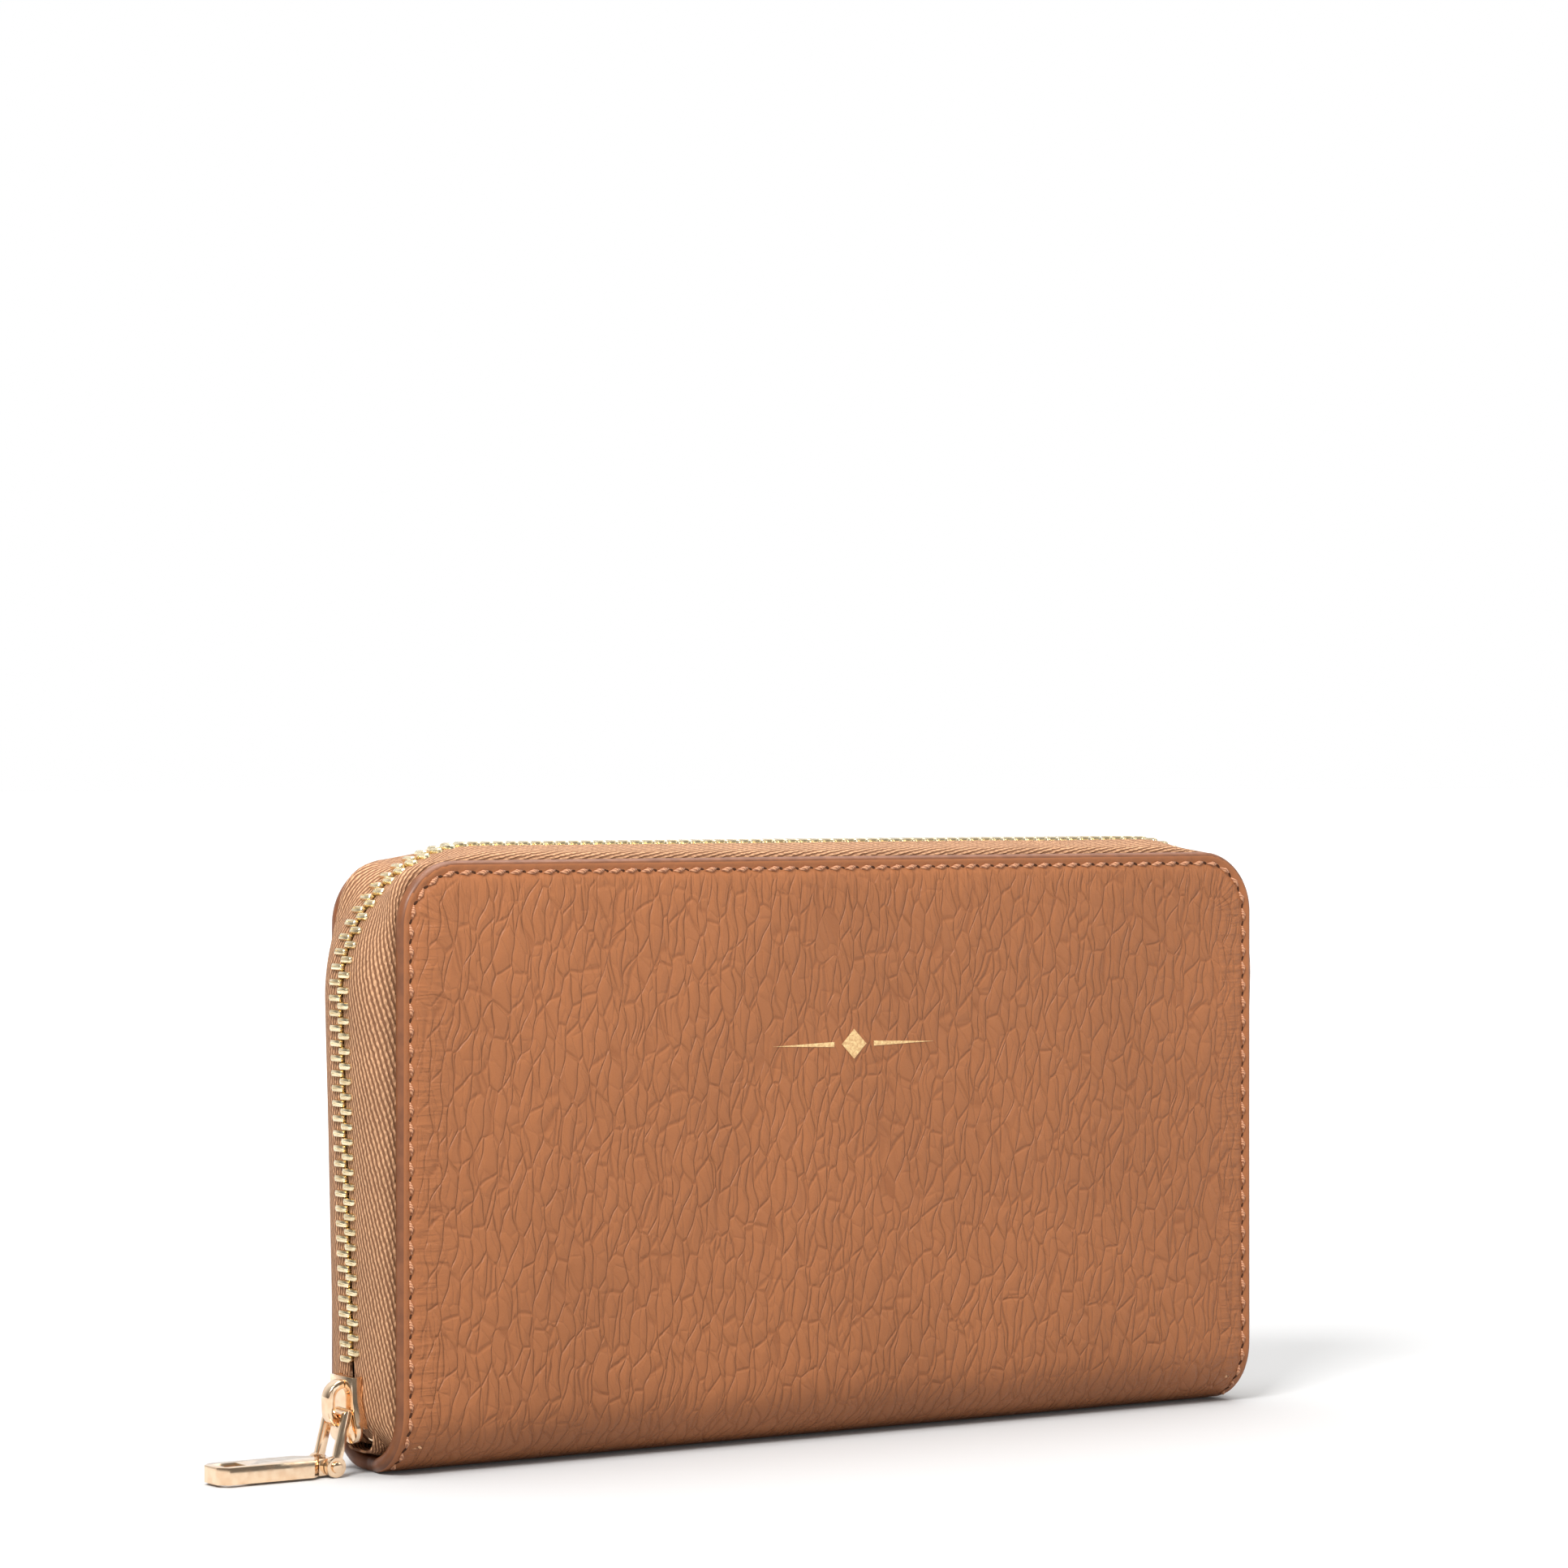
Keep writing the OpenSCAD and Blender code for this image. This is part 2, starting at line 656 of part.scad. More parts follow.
module link_pin() {
    color(ROSE_GOLD) union() {
        across(pin_x, pin_z, pin_r, arm_in + arm_t + 0.1);
        for (s = [-1, 1]) translate([0, s * (arm_in + arm_t + pin_head_t / 2), 0])
            across(pin_x, pin_z, pin_r + pin_head_rise, pin_head_t / 2);
    }
}

// Pull tab lying flat: neck round the pin, collar, blade with a square slot and clipped corners
module pull_tab() {
    out = pull_l;
    w = pull_w / 2;
    n = neck_w / 2;
    clip = tab_clip;
    collar = tab_collar;
    wall = tab_wall;
    neck_r = pull_t / 2;
    color(ROSE_GOLD) difference() {
        union() {
            across(pin_x, pin_z, neck_r, n);
            translate([pin_x, 0, pin_z - neck_r]) rotate([0, 0, 180]) linear_extrude(pull_t)
                polygon([[0, -n], [collar - tab_shoulder, -n], [collar, -w], [out - clip, -w],
                    [out, -w + clip], [out, w - clip], [out - clip, w], [collar, w],
                    [collar - tab_shoulder, n], [0, n]]);
        }
        across(pin_x, pin_z, pin_r + run_gap, pull_w);
        block([pin_x - out + wall, pin_x - out + wall + tab_slot_l], [-w + wall, w - wall],
            [-1, pin_z + pull_t]);
    }
}

spine_cover();
spine_lining();
coin_front_wall();
coin_back_wall();
coin_side_strip();
coin_zip_tape_front();
coin_zip_tape_back();
coin_teeth_front();
coin_teeth_back();
coin_slider();
coin_slider_bridge();
coin_pull();
gusset_front_left();
gusset_front_right();
gusset_back_left();
gusset_back_right();
left_zip_tail();
right_zip_tail();
zip_bottom_stop();
front_cover();
front_board();
front_lining();
front_card_slot(1);  // front_card_slot_1
front_card_slot(2);  // front_card_slot_2
front_card_slot(3);  // front_card_slot_3
front_card_slot(4);  // front_card_slot_4
front_zip_tape();
front_teeth_left();
front_teeth_top();
front_teeth_right();
front_stitching();
back_cover();
back_board();
back_lining();
back_card_slot(1);  // back_card_slot_1
back_card_slot(2);  // back_card_slot_2
back_card_slot(3);  // back_card_slot_3
back_card_slot(4);  // back_card_slot_4
back_zip_tape();
back_teeth_left();
back_teeth_top();
back_teeth_right();
back_stitching();
slider_body();
slider_bridge();
pull_link();
link_pin();
pull_tab();
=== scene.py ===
# %% [markdown]
# # A zip around wallet
# This notebook dresses a finished mechanical model. The model gives every place and size, and
# the cells below give it leather, woven tape, thread and polished metal. Lengths are in metres,
# X runs along the wallet, the front cover faces -Y and Z is up.

import math

import bpy
from mathutils import Matrix, Vector, noise


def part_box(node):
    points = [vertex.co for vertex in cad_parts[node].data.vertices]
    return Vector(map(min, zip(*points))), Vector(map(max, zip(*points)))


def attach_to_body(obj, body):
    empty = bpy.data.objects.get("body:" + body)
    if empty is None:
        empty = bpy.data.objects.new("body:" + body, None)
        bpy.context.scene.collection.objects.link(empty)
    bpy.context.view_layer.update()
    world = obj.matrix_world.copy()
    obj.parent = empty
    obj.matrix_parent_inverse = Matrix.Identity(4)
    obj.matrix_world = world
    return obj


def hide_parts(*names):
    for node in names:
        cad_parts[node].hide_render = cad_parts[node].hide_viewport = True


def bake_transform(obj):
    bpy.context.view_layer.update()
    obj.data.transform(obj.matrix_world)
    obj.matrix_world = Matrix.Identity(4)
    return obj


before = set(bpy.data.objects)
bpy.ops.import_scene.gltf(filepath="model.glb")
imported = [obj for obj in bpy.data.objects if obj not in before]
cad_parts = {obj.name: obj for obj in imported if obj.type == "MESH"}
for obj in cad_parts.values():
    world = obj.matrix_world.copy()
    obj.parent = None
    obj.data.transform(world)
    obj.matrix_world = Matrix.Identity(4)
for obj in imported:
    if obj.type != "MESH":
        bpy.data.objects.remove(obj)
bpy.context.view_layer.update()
MM = 0.001
print("nodes:", len(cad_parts))

# %% [markdown]
# ## Camera first
# A long lens keeps the wallet's edges nearly parallel, as on a product shot. The camera stands
# to the left of the front cover and only a little above the table, so it looks almost level.

# %% Camera
camera_data = bpy.data.cameras.new("camera")
camera_data.lens = 114.2
camera_data.sensor_width = 36
camera = bpy.data.objects.new("camera", camera_data)
bpy.context.scene.collection.objects.link(camera)
camera.location = (-0.5004, -0.7209, 0.1158)
camera.rotation_euler = (math.radians(89.9), 0, math.radians(-34.44))
bpy.context.scene.camera = camera
print("camera stands", round(camera.location.length, 3), "m away")

# %% [markdown]
# ## Sizes that everything shares
# The covers' boxes give the outline. Only what the boxes can't tell is written down here: the
# corner radii, the bend into the spine, the hide's thickness and the stitch line.

# %% Shared sizes
cover_low, cover_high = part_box("front_cover")
HALF_W = cover_high.x
TOP_Z = cover_high.z
FACE_Y = -cover_low.y
CORNER_R = 11 * MM
LOW_R = 0.8 * MM
BEND_R = 11.3 * MM
EDGE_T = 2.4 * MM
HIDE_T = 1.5 * MM
STITCH_IN = 2.0 * MM
STITCH_PITCH = 3.25 * MM

FLAT_S = TOP_Z - BEND_R
BEND_S = FLAT_S + BEND_R * math.pi / 2
END_S = BEND_S + FACE_Y - BEND_R
print("panel", round(2 * HALF_W / MM, 1), "x", round(TOP_Z / MM, 1), "mm; one cover is",
      round(END_S / MM, 1), "mm long from its top edge to the middle of the spine")

# %% [markdown]
# ## Small helpers for making things
# Blender's operators act on the selection. These helpers empty it, pick one object, apply a
# modifier, and put a finished object's place into its mesh, so that the object itself stays at
# the origin.

# %% Helpers for objects
def clear_selection():
    if bpy.context.mode != "OBJECT":
        bpy.ops.object.mode_set(mode="OBJECT")
    bpy.ops.object.select_all(action="DESELECT")


def pick(*things):
    clear_selection()
    for thing in things:
        thing.select_set(True)
    bpy.context.view_layer.objects.active = things[0]
    return things[0]


def settle(thing):
    """Puts the object's place, turn and scale into its mesh."""
    pick(thing)
    bpy.ops.object.transform_apply(location=True, rotation=True, scale=True)
    return thing


def finish_modifier(thing, kind, **settings):
    pick(thing)
    modifier = thing.modifiers.new(kind.lower(), kind)
    for key, value in settings.items():
        setattr(modifier, key, value)
    bpy.ops.object.modifier_apply(modifier=modifier.name)
    return thing


def join(name, parts):
    pick(*parts)
    bpy.ops.object.join()
    whole = bpy.context.view_layer.objects.active
    whole.name = name
    whole.data.name = name
    return whole


def twin(thing, name):
    """A copy with a mesh of its own."""
    copy = thing.copy()
    copy.data = thing.data.copy()
    copy.name = name
    copy.data.name = name
    bpy.context.scene.collection.objects.link(copy)
    return copy


def edit(thing, *steps):
    """Runs mesh operators on the whole of a piece in edit mode."""
    pick(thing)
    bpy.ops.object.mode_set(mode="EDIT")
    bpy.ops.mesh.select_all(action="SELECT")
    for step in steps:
        step()
    bpy.ops.object.mode_set(mode="OBJECT")
    return thing


def face_outwards():
    bpy.ops.mesh.normals_make_consistent(inside=False)


def mirrored(thing, name, axis):
    """A copy reflected along one axis (0 is X, 1 is Y), with its faces turned outside out."""
    copy = twin(thing, name)
    copy.scale[axis] = -1
    settle(copy)
    return edit(copy, face_outwards)


def smooth(thing, angle=40):
    pick(thing)
    bpy.ops.object.shade_smooth_by_angle(angle=math.radians(angle))
    return thing


def report(thing):
    print(f"{thing.name}: {len(thing.data.polygons)} faces")


# %% [markdown]
# ## A small language for shaders
# Wiring dozens of Math nodes by hand hides the idea behind them. The class below wraps a socket
# so that sums are written as sums, and one method makes any other node. Coordinates are in
# metres, so SHEET_MM scales a flat map and SOLID_MM a solid to the millimetres patterns use.

# %% Shader helpers
PER_M = 1000
SHEET_MM = (PER_M, PER_M, 1)
SOLID_MM = (PER_M, PER_M, PER_M)


class Value:
    """A shader socket that arithmetic can be written with."""

    def __init__(self, maker, socket):
        self.maker = maker
        self.socket = socket

    def math(self, operation, first, second=0.0):
        node = self.maker.node("ShaderNodeMath", {"operation": operation}, {0: first, 1: second})
        return Value(self.maker, node.outputs[0])

    def __add__(self, other):
        return self.math("ADD", self, other)

    __radd__ = __add__

    def __sub__(self, other):
        return self.math("SUBTRACT", self, other)

    def __rsub__(self, other):
        return self.math("SUBTRACT", other, self)

    def __mul__(self, other):
        return self.math("MULTIPLY", self, other)

    __rmul__ = __mul__

    def __truediv__(self, other):
        return self.math("DIVIDE", self, other)

    def __rtruediv__(self, other):
        return self.math("DIVIDE", other, self)

    def sine(self):
        return self.math("SINE", self)

    def most(self, other):
        return self.math("MAXIMUM", self, other)

    def ramp(self, low, high, out_low=0.0, out_high=1.0):
        """Goes smoothly from out_low to out_high as the value goes from low to high."""
        settings = {"interpolation_type": "SMOOTHSTEP", "data_type": "FLOAT"}
        sockets = {"Value": self, "From Min": low, "From Max": high,
                   "To Min": out_low, "To Max": out_high}
        node = self.maker.node("ShaderNodeMapRange", settings, sockets)
        return Value(self.maker, node.outputs[0])


class Finish:
    """A material on the Principled shader, made with a few calls."""

    def __init__(self, name, **surface):
        self.material = bpy.data.materials.new(name)
        self.material.use_nodes = True
        self.nodes = self.material.node_tree.nodes
        self.links = self.material.node_tree.links
        self.shader = self.nodes["Principled BSDF"]
        for key, value in surface.items():
            self.set(self.shader.inputs[key.replace("_", " ")], value)

    def set(self, socket, value):
        if isinstance(value, Value):
            self.links.new(value.socket, socket)
        elif hasattr(socket.default_value, "__len__") and len(value) == 3 and socket.type == "RGBA":
            socket.default_value = (*value, 1)
        else:
            socket.default_value = value

    def node(self, kind, settings=None, sockets=None):
        node = self.nodes.new(kind)
        for key, value in (settings or {}).items():
            setattr(node, key, value)
        for key, value in (sockets or {}).items():
            self.set(node.inputs[key], value)
        return node

    def value(self, kind, settings=None, sockets=None, out=0):
        return Value(self, self.node(kind, settings, sockets).outputs[out])

    def place(self, scale=(1, 1, 1), uv=False):
        """Object or UV coordinates, scaled."""
        coordinates = self.value("ShaderNodeTexCoord", out="UV" if uv else "Object")
        return self.value("ShaderNodeMapping", None, {"Vector": coordinates, "Scale": scale})

    def parts(self, vector):
        node = self.node("ShaderNodeSeparateXYZ", None, {0: vector})
        return [Value(self, out) for out in node.outputs]

    def noise(self, vector, scale, detail=2.0, roughness=0.5):
        return self.value("ShaderNodeTexNoise", None,
                          {"Vector": vector, "Scale": scale, "Detail": detail, "Roughness": roughness})

    def shift(self, vector, by, amount):
        """Moves a vector about by a colour, for wavering patterns."""
        pushed = self.value("ShaderNodeVectorMath", {"operation": "SUBTRACT"}, {0: by, 1: (0.5, 0.5, 0.5)})
        scaled = self.value("ShaderNodeVectorMath", {"operation": "SCALE"}, {0: pushed, "Scale": amount})
        return self.value("ShaderNodeVectorMath", {"operation": "ADD"}, {0: vector, 1: scaled})

    def mix(self, factor, first, second):
        node = self.node("ShaderNodeMix", {"data_type": "RGBA"}, {0: factor, 6: first, 7: second})
        return Value(self, node.outputs[2])

    def colour(self, value):
        self.set(self.shader.inputs["Base Color"], value)

    def rough(self, value):
        self.set(self.shader.inputs["Roughness"], value)

    def bump(self, height, distance, strength=1.0):
        node = self.node("ShaderNodeBump", None,
                         {"Height": height, "Distance": distance, "Strength": strength})
        self.links.new(node.outputs[0], self.shader.inputs["Normal"])


# %% [markdown]
# ## Leather
# Full grain leather that was tumbled until it shrank has long domed pebbles with thin sharp
# creases between them, all stretched one way. A Voronoi pattern's distance to its cell edges
# gives them, once the coordinates are squeezed and sheared along the hide. A second, fainter
# set of creases crosses the first. The hide's own coordinates are used, so that the grain runs
# on round the spine, and a second map, measured from the edge, makes the wrinkles that fan out
# from the seam.

# %% Leather finish
def leather(name, hide, crease, grain=1.0, roughness=0.5, rim=False):
    finish = Finish(name, Specular_IOR_Level=0.32)
    skin = finish.place(scale=SHEET_MM, uv=True)
    waver = finish.value("ShaderNodeTexNoise", None, {"Vector": skin, "Scale": 0.13, "Detail": 1.0}, out=1)
    x, y, _ = finish.parts(finish.shift(skin, waver, 3.2))

    def pebbles(width, length, shear):
        """Distance from the nearest crease, in cells, of a pattern whose cells are sheared."""
        cells = finish.value("ShaderNodeCombineXYZ", None, {0: x / width, 1: (y + x * shear) / length})
        return finish.value("ShaderNodeTexVoronoi", {"feature": "DISTANCE_TO_EDGE"},
                            {"Vector": cells, "Scale": 1.0, "Randomness": 0.82})

    main = pebbles(2.5, 6.8, -0.8)
    cross = pebbles(2.8, 4.8, 1.0)
    patches = finish.noise(skin, 0.022, 2.0)
    patch = finish.noise(skin, 0.10, 2.0)
    fine = finish.noise(skin, 2.6, 3.0, 0.6)
    pores = finish.noise(skin, 6.5, 2.0, 0.5)
    cut = main.ramp(0.0, 0.040, 1.0, 0.0) * patch.ramp(0.3, 0.6, 0.5, 1.0)
    faint = cross.ramp(0.0, 0.030, 1.0, 0.0) * patch.ramp(0.35, 0.7, 0.8, 0.25)
    folds = cut.most(faint * 0.55)
    tone = finish.mix(patches.ramp(0.3, 0.72), hide, [c * 0.86 for c in hide])
    tone = finish.mix(fine.ramp(0.35, 0.75, 0.0, 0.20), tone, [c * 0.72 for c in hide])
    if rim:
        edge_map = finish.value("ShaderNodeUVMap", {"uv_map": "Rim"})
        rim_place = finish.value("ShaderNodeMapping", None, {"Vector": edge_map, "Scale": SHEET_MM})
        _, depth, _ = finish.parts(rim_place)
        folds = folds * depth.ramp(2.0, 7.0, 0.15, 1.0)
    # Painted shade: the creases are darkened in colour as if shade lay in the grain's grooves, on top of the
    # grooves that the bump carves; near the rim this shade fades.
    finish.colour(finish.mix(folds * 0.30, tone, crease))
    finish.rough(fine.ramp(0.3, 0.7, roughness - 0.05, roughness + 0.07) + folds * 0.12)
    dome = main.ramp(0.0, 0.32) * 0.38 + cross.ramp(0.0, 0.24) * 0.12
    groove = main.ramp(0.0, 0.075, 0.42, 0.0) + cross.ramp(0.0, 0.07, 0.16, 0.0)
    height = dome + fine * 0.07 + pores * 0.03 - groove
    if rim:
        spokes = finish.value("ShaderNodeMapping", None, {"Vector": rim_place, "Scale": (0.95, 0.11, 1)})
        wrinkle = finish.noise(spokes, 1.0, 2.0).ramp(0.35, 0.65)
        near = depth.ramp(2.2, 3.2) * depth.ramp(5.0, 11.0, 1.0, 0.0)
        height = height * depth.ramp(1.6, 5.5, 0.1, 1.0) + wrinkle * near * 0.34
    finish.bump(height, 0.33 * MM * grain, 1.0)
    return finish


HIDE = (0.318, 0.113, 0.039)
# The second colour is painted shade for the grain's grooves.
CREASE_SHADE = (0.135, 0.038, 0.013)
cover_leather = leather("cover_leather", HIDE, CREASE_SHADE, rim=True)
print("leather nodes:", len(cover_leather.nodes))

# %% [markdown]
# ## Painted edge
# The cut edge of the leather is sealed with a few coats of acrylic paint. It is smoother than
# the grain, a little darker, and its gloss wavers where the coats pooled.

# %% Edge paint
def edge_paint():
    finish = Finish("edge_paint", Specular_IOR_Level=0.4, Coat_Weight=0.06, Coat_Roughness=0.4)
    place = finish.place(scale=SOLID_MM)
    cloud = finish.noise(place, 0.35, 3.0)
    speck = finish.noise(place, 4.0, 2.0)
    finish.colour(finish.mix(cloud.ramp(0.3, 0.7), (0.180, 0.062, 0.022), (0.130, 0.044, 0.016)))
    finish.rough(cloud.ramp(0.3, 0.7, 0.38, 0.52))
    finish.bump(cloud * 0.7 + speck * 0.2, 0.10 * MM, 0.6)
    return finish


paint = edge_paint()

# %% [markdown]
# ## The cover's outline, unrolled
# One cover is half of a hide: from its top edge, down the panel, round the bend and to the
# middle of the spine. It is easiest to think of it unrolled, with u across it and s down it, and
# to roll it up at the end.

# %% Unrolled outline
def height_at(s):
    """Height above the table of the unrolled hide at s."""
    if s < FLAT_S:
        return TOP_Z - s
    if s < BEND_S:
        return BEND_R * (1 - math.sin((s - FLAT_S) / BEND_R))
    return 0.0


def half_width(s, inset=0.0):
    """Half of the hide's width at s, drawn in by inset."""
    r = CORNER_R - inset
    x = HALF_W - inset
    if s - inset < r:
        return x - r + math.sqrt(max(r * r - (r - (s - inset)) ** 2, 0.0))
    z = height_at(s)
    low = max(LOW_R - inset, 0.0)
    if z < LOW_R:
        return x - low + math.sqrt(max(low * low - (LOW_R - z) ** 2, 0.0))
    return x


def rim(u, s):
    """(distance in from the outline, distance along the stitch line from the top's middle)."""
    au = abs(u)
    corner_u = HALF_W - CORNER_R
    turn_r = CORNER_R - STITCH_IN
    if au > corner_u and s < CORNER_R:
        angle = math.atan2(au - corner_u, CORNER_R - s)
        depth = CORNER_R - math.hypot(au - corner_u, CORNER_R - s)
        return depth, math.copysign(corner_u + angle * turn_r, u)
    side = half_width(s) - au
    step = 0.2 * MM
    slope = (half_width(s + step) - half_width(s)) / step if s > CORNER_R else 0.0
    side /= math.hypot(1, slope)
    if s < side:
        return s, u
    return side, math.copysign(corner_u + math.pi / 2 * turn_r + s - CORNER_R, u)


def wrap(u, s, lift):
    """Place in space of the point (u, s) of the front hide, lifted off its outer face."""
    if s < FLAT_S:
        return Vector((u, -FACE_Y - lift, TOP_Z - s))
    if s < BEND_S:
        angle = (s - FLAT_S) / BEND_R
        reach = BEND_R + lift
        return Vector((u, -(FACE_Y - BEND_R) - reach * math.cos(angle), BEND_R - reach * math.sin(angle)))
    return Vector((u, -(FACE_Y - BEND_R) + s - BEND_S, -lift))


# %% [markdown]
# ## Soft forms of the face
# The face is padded: it swells away from the rim, dips along the stitches, and puckers where
# each stitch pulls it down. These forms are real geometry; only the grain is left to the bump.

# %% Relief of the face
def bell(x, width):
    return math.exp(-((x / width) ** 2))


def relief(u, s):
    """How far the outer face lies off the plain hide, outwards."""
    depth, along = rim(u, s)
    round_r = EDGE_T * 0.42
    lift = 0.0
    if depth < round_r:
        lift -= round_r - math.sqrt(max(round_r ** 2 - (round_r - depth) ** 2, 0.0))
    flat = min(1.0, max(0.0, height_at(s) / (14 * MM)))
    swell = 0.75 * MM * (1 - math.exp(-max(depth - STITCH_IN, 0.0) / (9 * MM)))
    lift += swell * flat
    pull = 0.5 + 0.5 * math.cos(2 * math.pi * along / STITCH_PITCH)
    on_line = bell(depth - STITCH_IN, 0.75 * MM)
    lift -= on_line * (0.20 + 0.22 * (1 - pull)) * MM * max(flat, 0.3)
    fan = bell(depth - 5.0 * MM, 3.2 * MM)
    waver = noise.noise(Vector((along * 90, depth * 300, 2.0)))
    lift += fan * 0.05 * MM * (2 * pull - 1 + 1.6 * waver) * flat
    sway = noise.noise(Vector((u * 26, s * 30, 0.0))) + 0.5 * noise.noise(Vector((u * 70, s * 60, 5.0)))
    lift += sway * 0.16 * MM * flat * min(1.0, depth / (6 * MM))
    return lift


# %% [markdown]
# ## The two covers
# Each cover starts as a grid. Its rows and columns crowd towards the outline, where the shape
# changes fastest. One grid becomes the outer face and one the inner face, and the two rims are
# bridged, which gives a closed shell with a rounded painted edge.

# %% Cover maker
COVER_COLUMNS = 190
COVER_ROWS = 150


def crowd(t, pull=0.36):
    """Keeps -1, 0 and 1 in place and crowds what lies between them towards -1 and 1."""
    return (1 + pull) * t - pull * t ** 3


def hide_point(a, b):
    """Place (u, s) on the hide of a grid point with a and b from -1 to 1."""
    s = END_S * (0.5 - crowd(b) / 2)
    return crowd(a) * half_width(s), s


def cover_face(name, lift_of):
    clear_selection()
    bpy.ops.mesh.primitive_grid_add(x_subdivisions=COVER_COLUMNS, y_subdivisions=COVER_ROWS, size=2)
    face = bpy.context.object
    face.name = name
    layer = face.data.uv_layers.active or face.data.uv_layers.new(name="UVMap")
    hide = [hide_point(v.co.x, v.co.y) for v in face.data.vertices]
    rim_layer = face.data.uv_layers.new(name="Rim")
    rims = [rim(u, s) for u, s in hide]
    for loop in face.data.loops:
        u, s = hide[loop.vertex_index]
        depth, along = rims[loop.vertex_index]
        layer.data[loop.index].uv = (u, -s)
        rim_layer.data[loop.index].uv = (along, depth)
    for vertex, (u, s) in zip(face.data.vertices, hide):
        vertex.co = wrap(u, s, lift_of(u, s))
    return face


def ease(x, low, high):
    """Goes smoothly from 0 to 1 as x goes from low to high."""
    t = min(max((x - low) / (high - low), 0.0), 1.0)
    return t * t * (3 - 2 * t)


def inner_lift(u, s):
    """The hide is thickest at its painted edge and thinner where the lining lies on it."""
    depth, _ = rim(u, s)
    round_r = EDGE_T * 0.30
    roll = round_r - math.sqrt(max(round_r ** 2 - (round_r - min(depth, round_r)) ** 2, 0.0))
    return -EDGE_T + roll + (EDGE_T - HIDE_T) * ease(depth, 0.8 * MM, 2.0 * MM)


def select_rim():
    bpy.ops.mesh.select_all(action="DESELECT")
    bpy.ops.mesh.select_mode(type="EDGE")
    bpy.ops.mesh.select_non_manifold()


def make_cover(name):
    outer = cover_face(name, relief)
    inner = cover_face(name + "_inside", inner_lift)
    cover = join(name, [outer, inner])
    pick(cover)
    bpy.ops.object.mode_set(mode="EDIT")
    select_rim()
    bpy.ops.mesh.bridge_edge_loops()
    bpy.ops.mesh.select_all(action="SELECT")
    face_outwards()
    bpy.ops.object.mode_set(mode="OBJECT")
    return smooth(cover, 70)


def paint_edges(cover):
    """Gives the rim's faces the second material: those that look along the hide, not out of it."""
    cover.data.materials.append(cover_leather.material)
    cover.data.materials.append(paint.material)
    layer = cover.data.uv_layers["UVMap"].data
    rim_band = 0.62 * MM
    for polygon in cover.data.polygons:
        spots = [layer[i].uv for i in polygon.loop_indices]
        u = sum(spot.x for spot in spots) / len(spots)
        s = -sum(spot.y for spot in spots) / len(spots)
        depth, _ = rim(u, s)
        if depth < rim_band:
            polygon.material_index = 1


def mirror_to_back(thing, name):
    return mirrored(thing, name, 1)


front_hide = make_cover("front_hide")
paint_edges(front_hide)
back_hide = mirror_to_back(front_hide, "back_hide")
report(front_hide)

# %% [markdown]
# ## Riding on bodies
# Most pieces ride on a body of the mechanical model. The covers, their linings and the tapes run
# on from the half that swings into the spine that doesn't; they stay where they are, with their
# place put into their mesh.

# %% Riding helpers
def wear(thing, finish):
    """Gives a piece one material. A piece with no finish keeps the materials it has."""
    if finish is not None:
        thing.data.materials.clear()
        thing.data.materials.append(finish.material)


def label(thing, slot, replaced):
    if replaced:
        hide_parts(*replaced)
    report(thing)
    return thing


def attach(thing, body, finish, slot, replaced=()):
    """Puts a piece on a body that moves as one."""
    wear(thing, finish)
    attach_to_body(thing, body)
    return label(thing, slot, replaced)


def crease(thing, half, slot, replaced=(), finish=None):
    """Like attach, for a piece that runs over the crease at the foot of a half; it rides on no body, and its
    place is put into its mesh.
    """
    wear(thing, finish)
    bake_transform(thing)
    return label(thing, slot, replaced)


crease(front_hide, "front_half", "leather", ["front_cover", "front_board", "spine_cover"])
crease(back_hide, "back_half", "leather", ["back_cover", "back_board"])

# %% [markdown]
# ## The chain's line
# The zip runs up the left end, round a corner, along the top and down the right end. It leans
# out a little on its way up. Everything on the zip is placed by one function: the distance along
# the chain from its foot gives a place and the direction that faces out.

# %% Chain
LEAN = math.radians(2)
CHAIN_R = 24 * MM
CHAIN_FOOT = 10.2 * MM
BULGE = 1.7 * MM
TOOTH_PITCH = 2.5 * MM
CHAIN_TOP = TOP_Z + BULGE
ARC_Z = CHAIN_TOP - CHAIN_R
RUN_END = ARC_Z - CHAIN_R * math.sin(LEAN)


def run_x(z):
    return -(HALF_W + BULGE + (z - CHAIN_FOOT) * math.tan(LEAN))


ARC_X = run_x(RUN_END) + CHAIN_R * math.cos(LEAN)
RUN_L = (RUN_END - CHAIN_FOOT) / math.cos(LEAN)
ARC_L = CHAIN_R * (math.pi / 2 + LEAN)
HALF_CHAIN = RUN_L + ARC_L - ARC_X
CHAIN_L = 2 * HALF_CHAIN


def chain(s):
    """(x, z, angle of the outward direction) at the distance s along the chain from its foot."""
    if s > HALF_CHAIN:
        x, z, angle = chain(CHAIN_L - s)
        return -x, z, math.pi - angle
    if s < RUN_L:
        z = CHAIN_FOOT + s * math.cos(LEAN)
        return run_x(z), z, math.pi + LEAN
    if s < RUN_L + ARC_L:
        angle = math.pi + LEAN - (s - RUN_L) / CHAIN_R
        return ARC_X + CHAIN_R * math.cos(angle), ARC_Z + CHAIN_R * math.sin(angle), angle
    return ARC_X + s - RUN_L - ARC_L, CHAIN_TOP, math.pi / 2


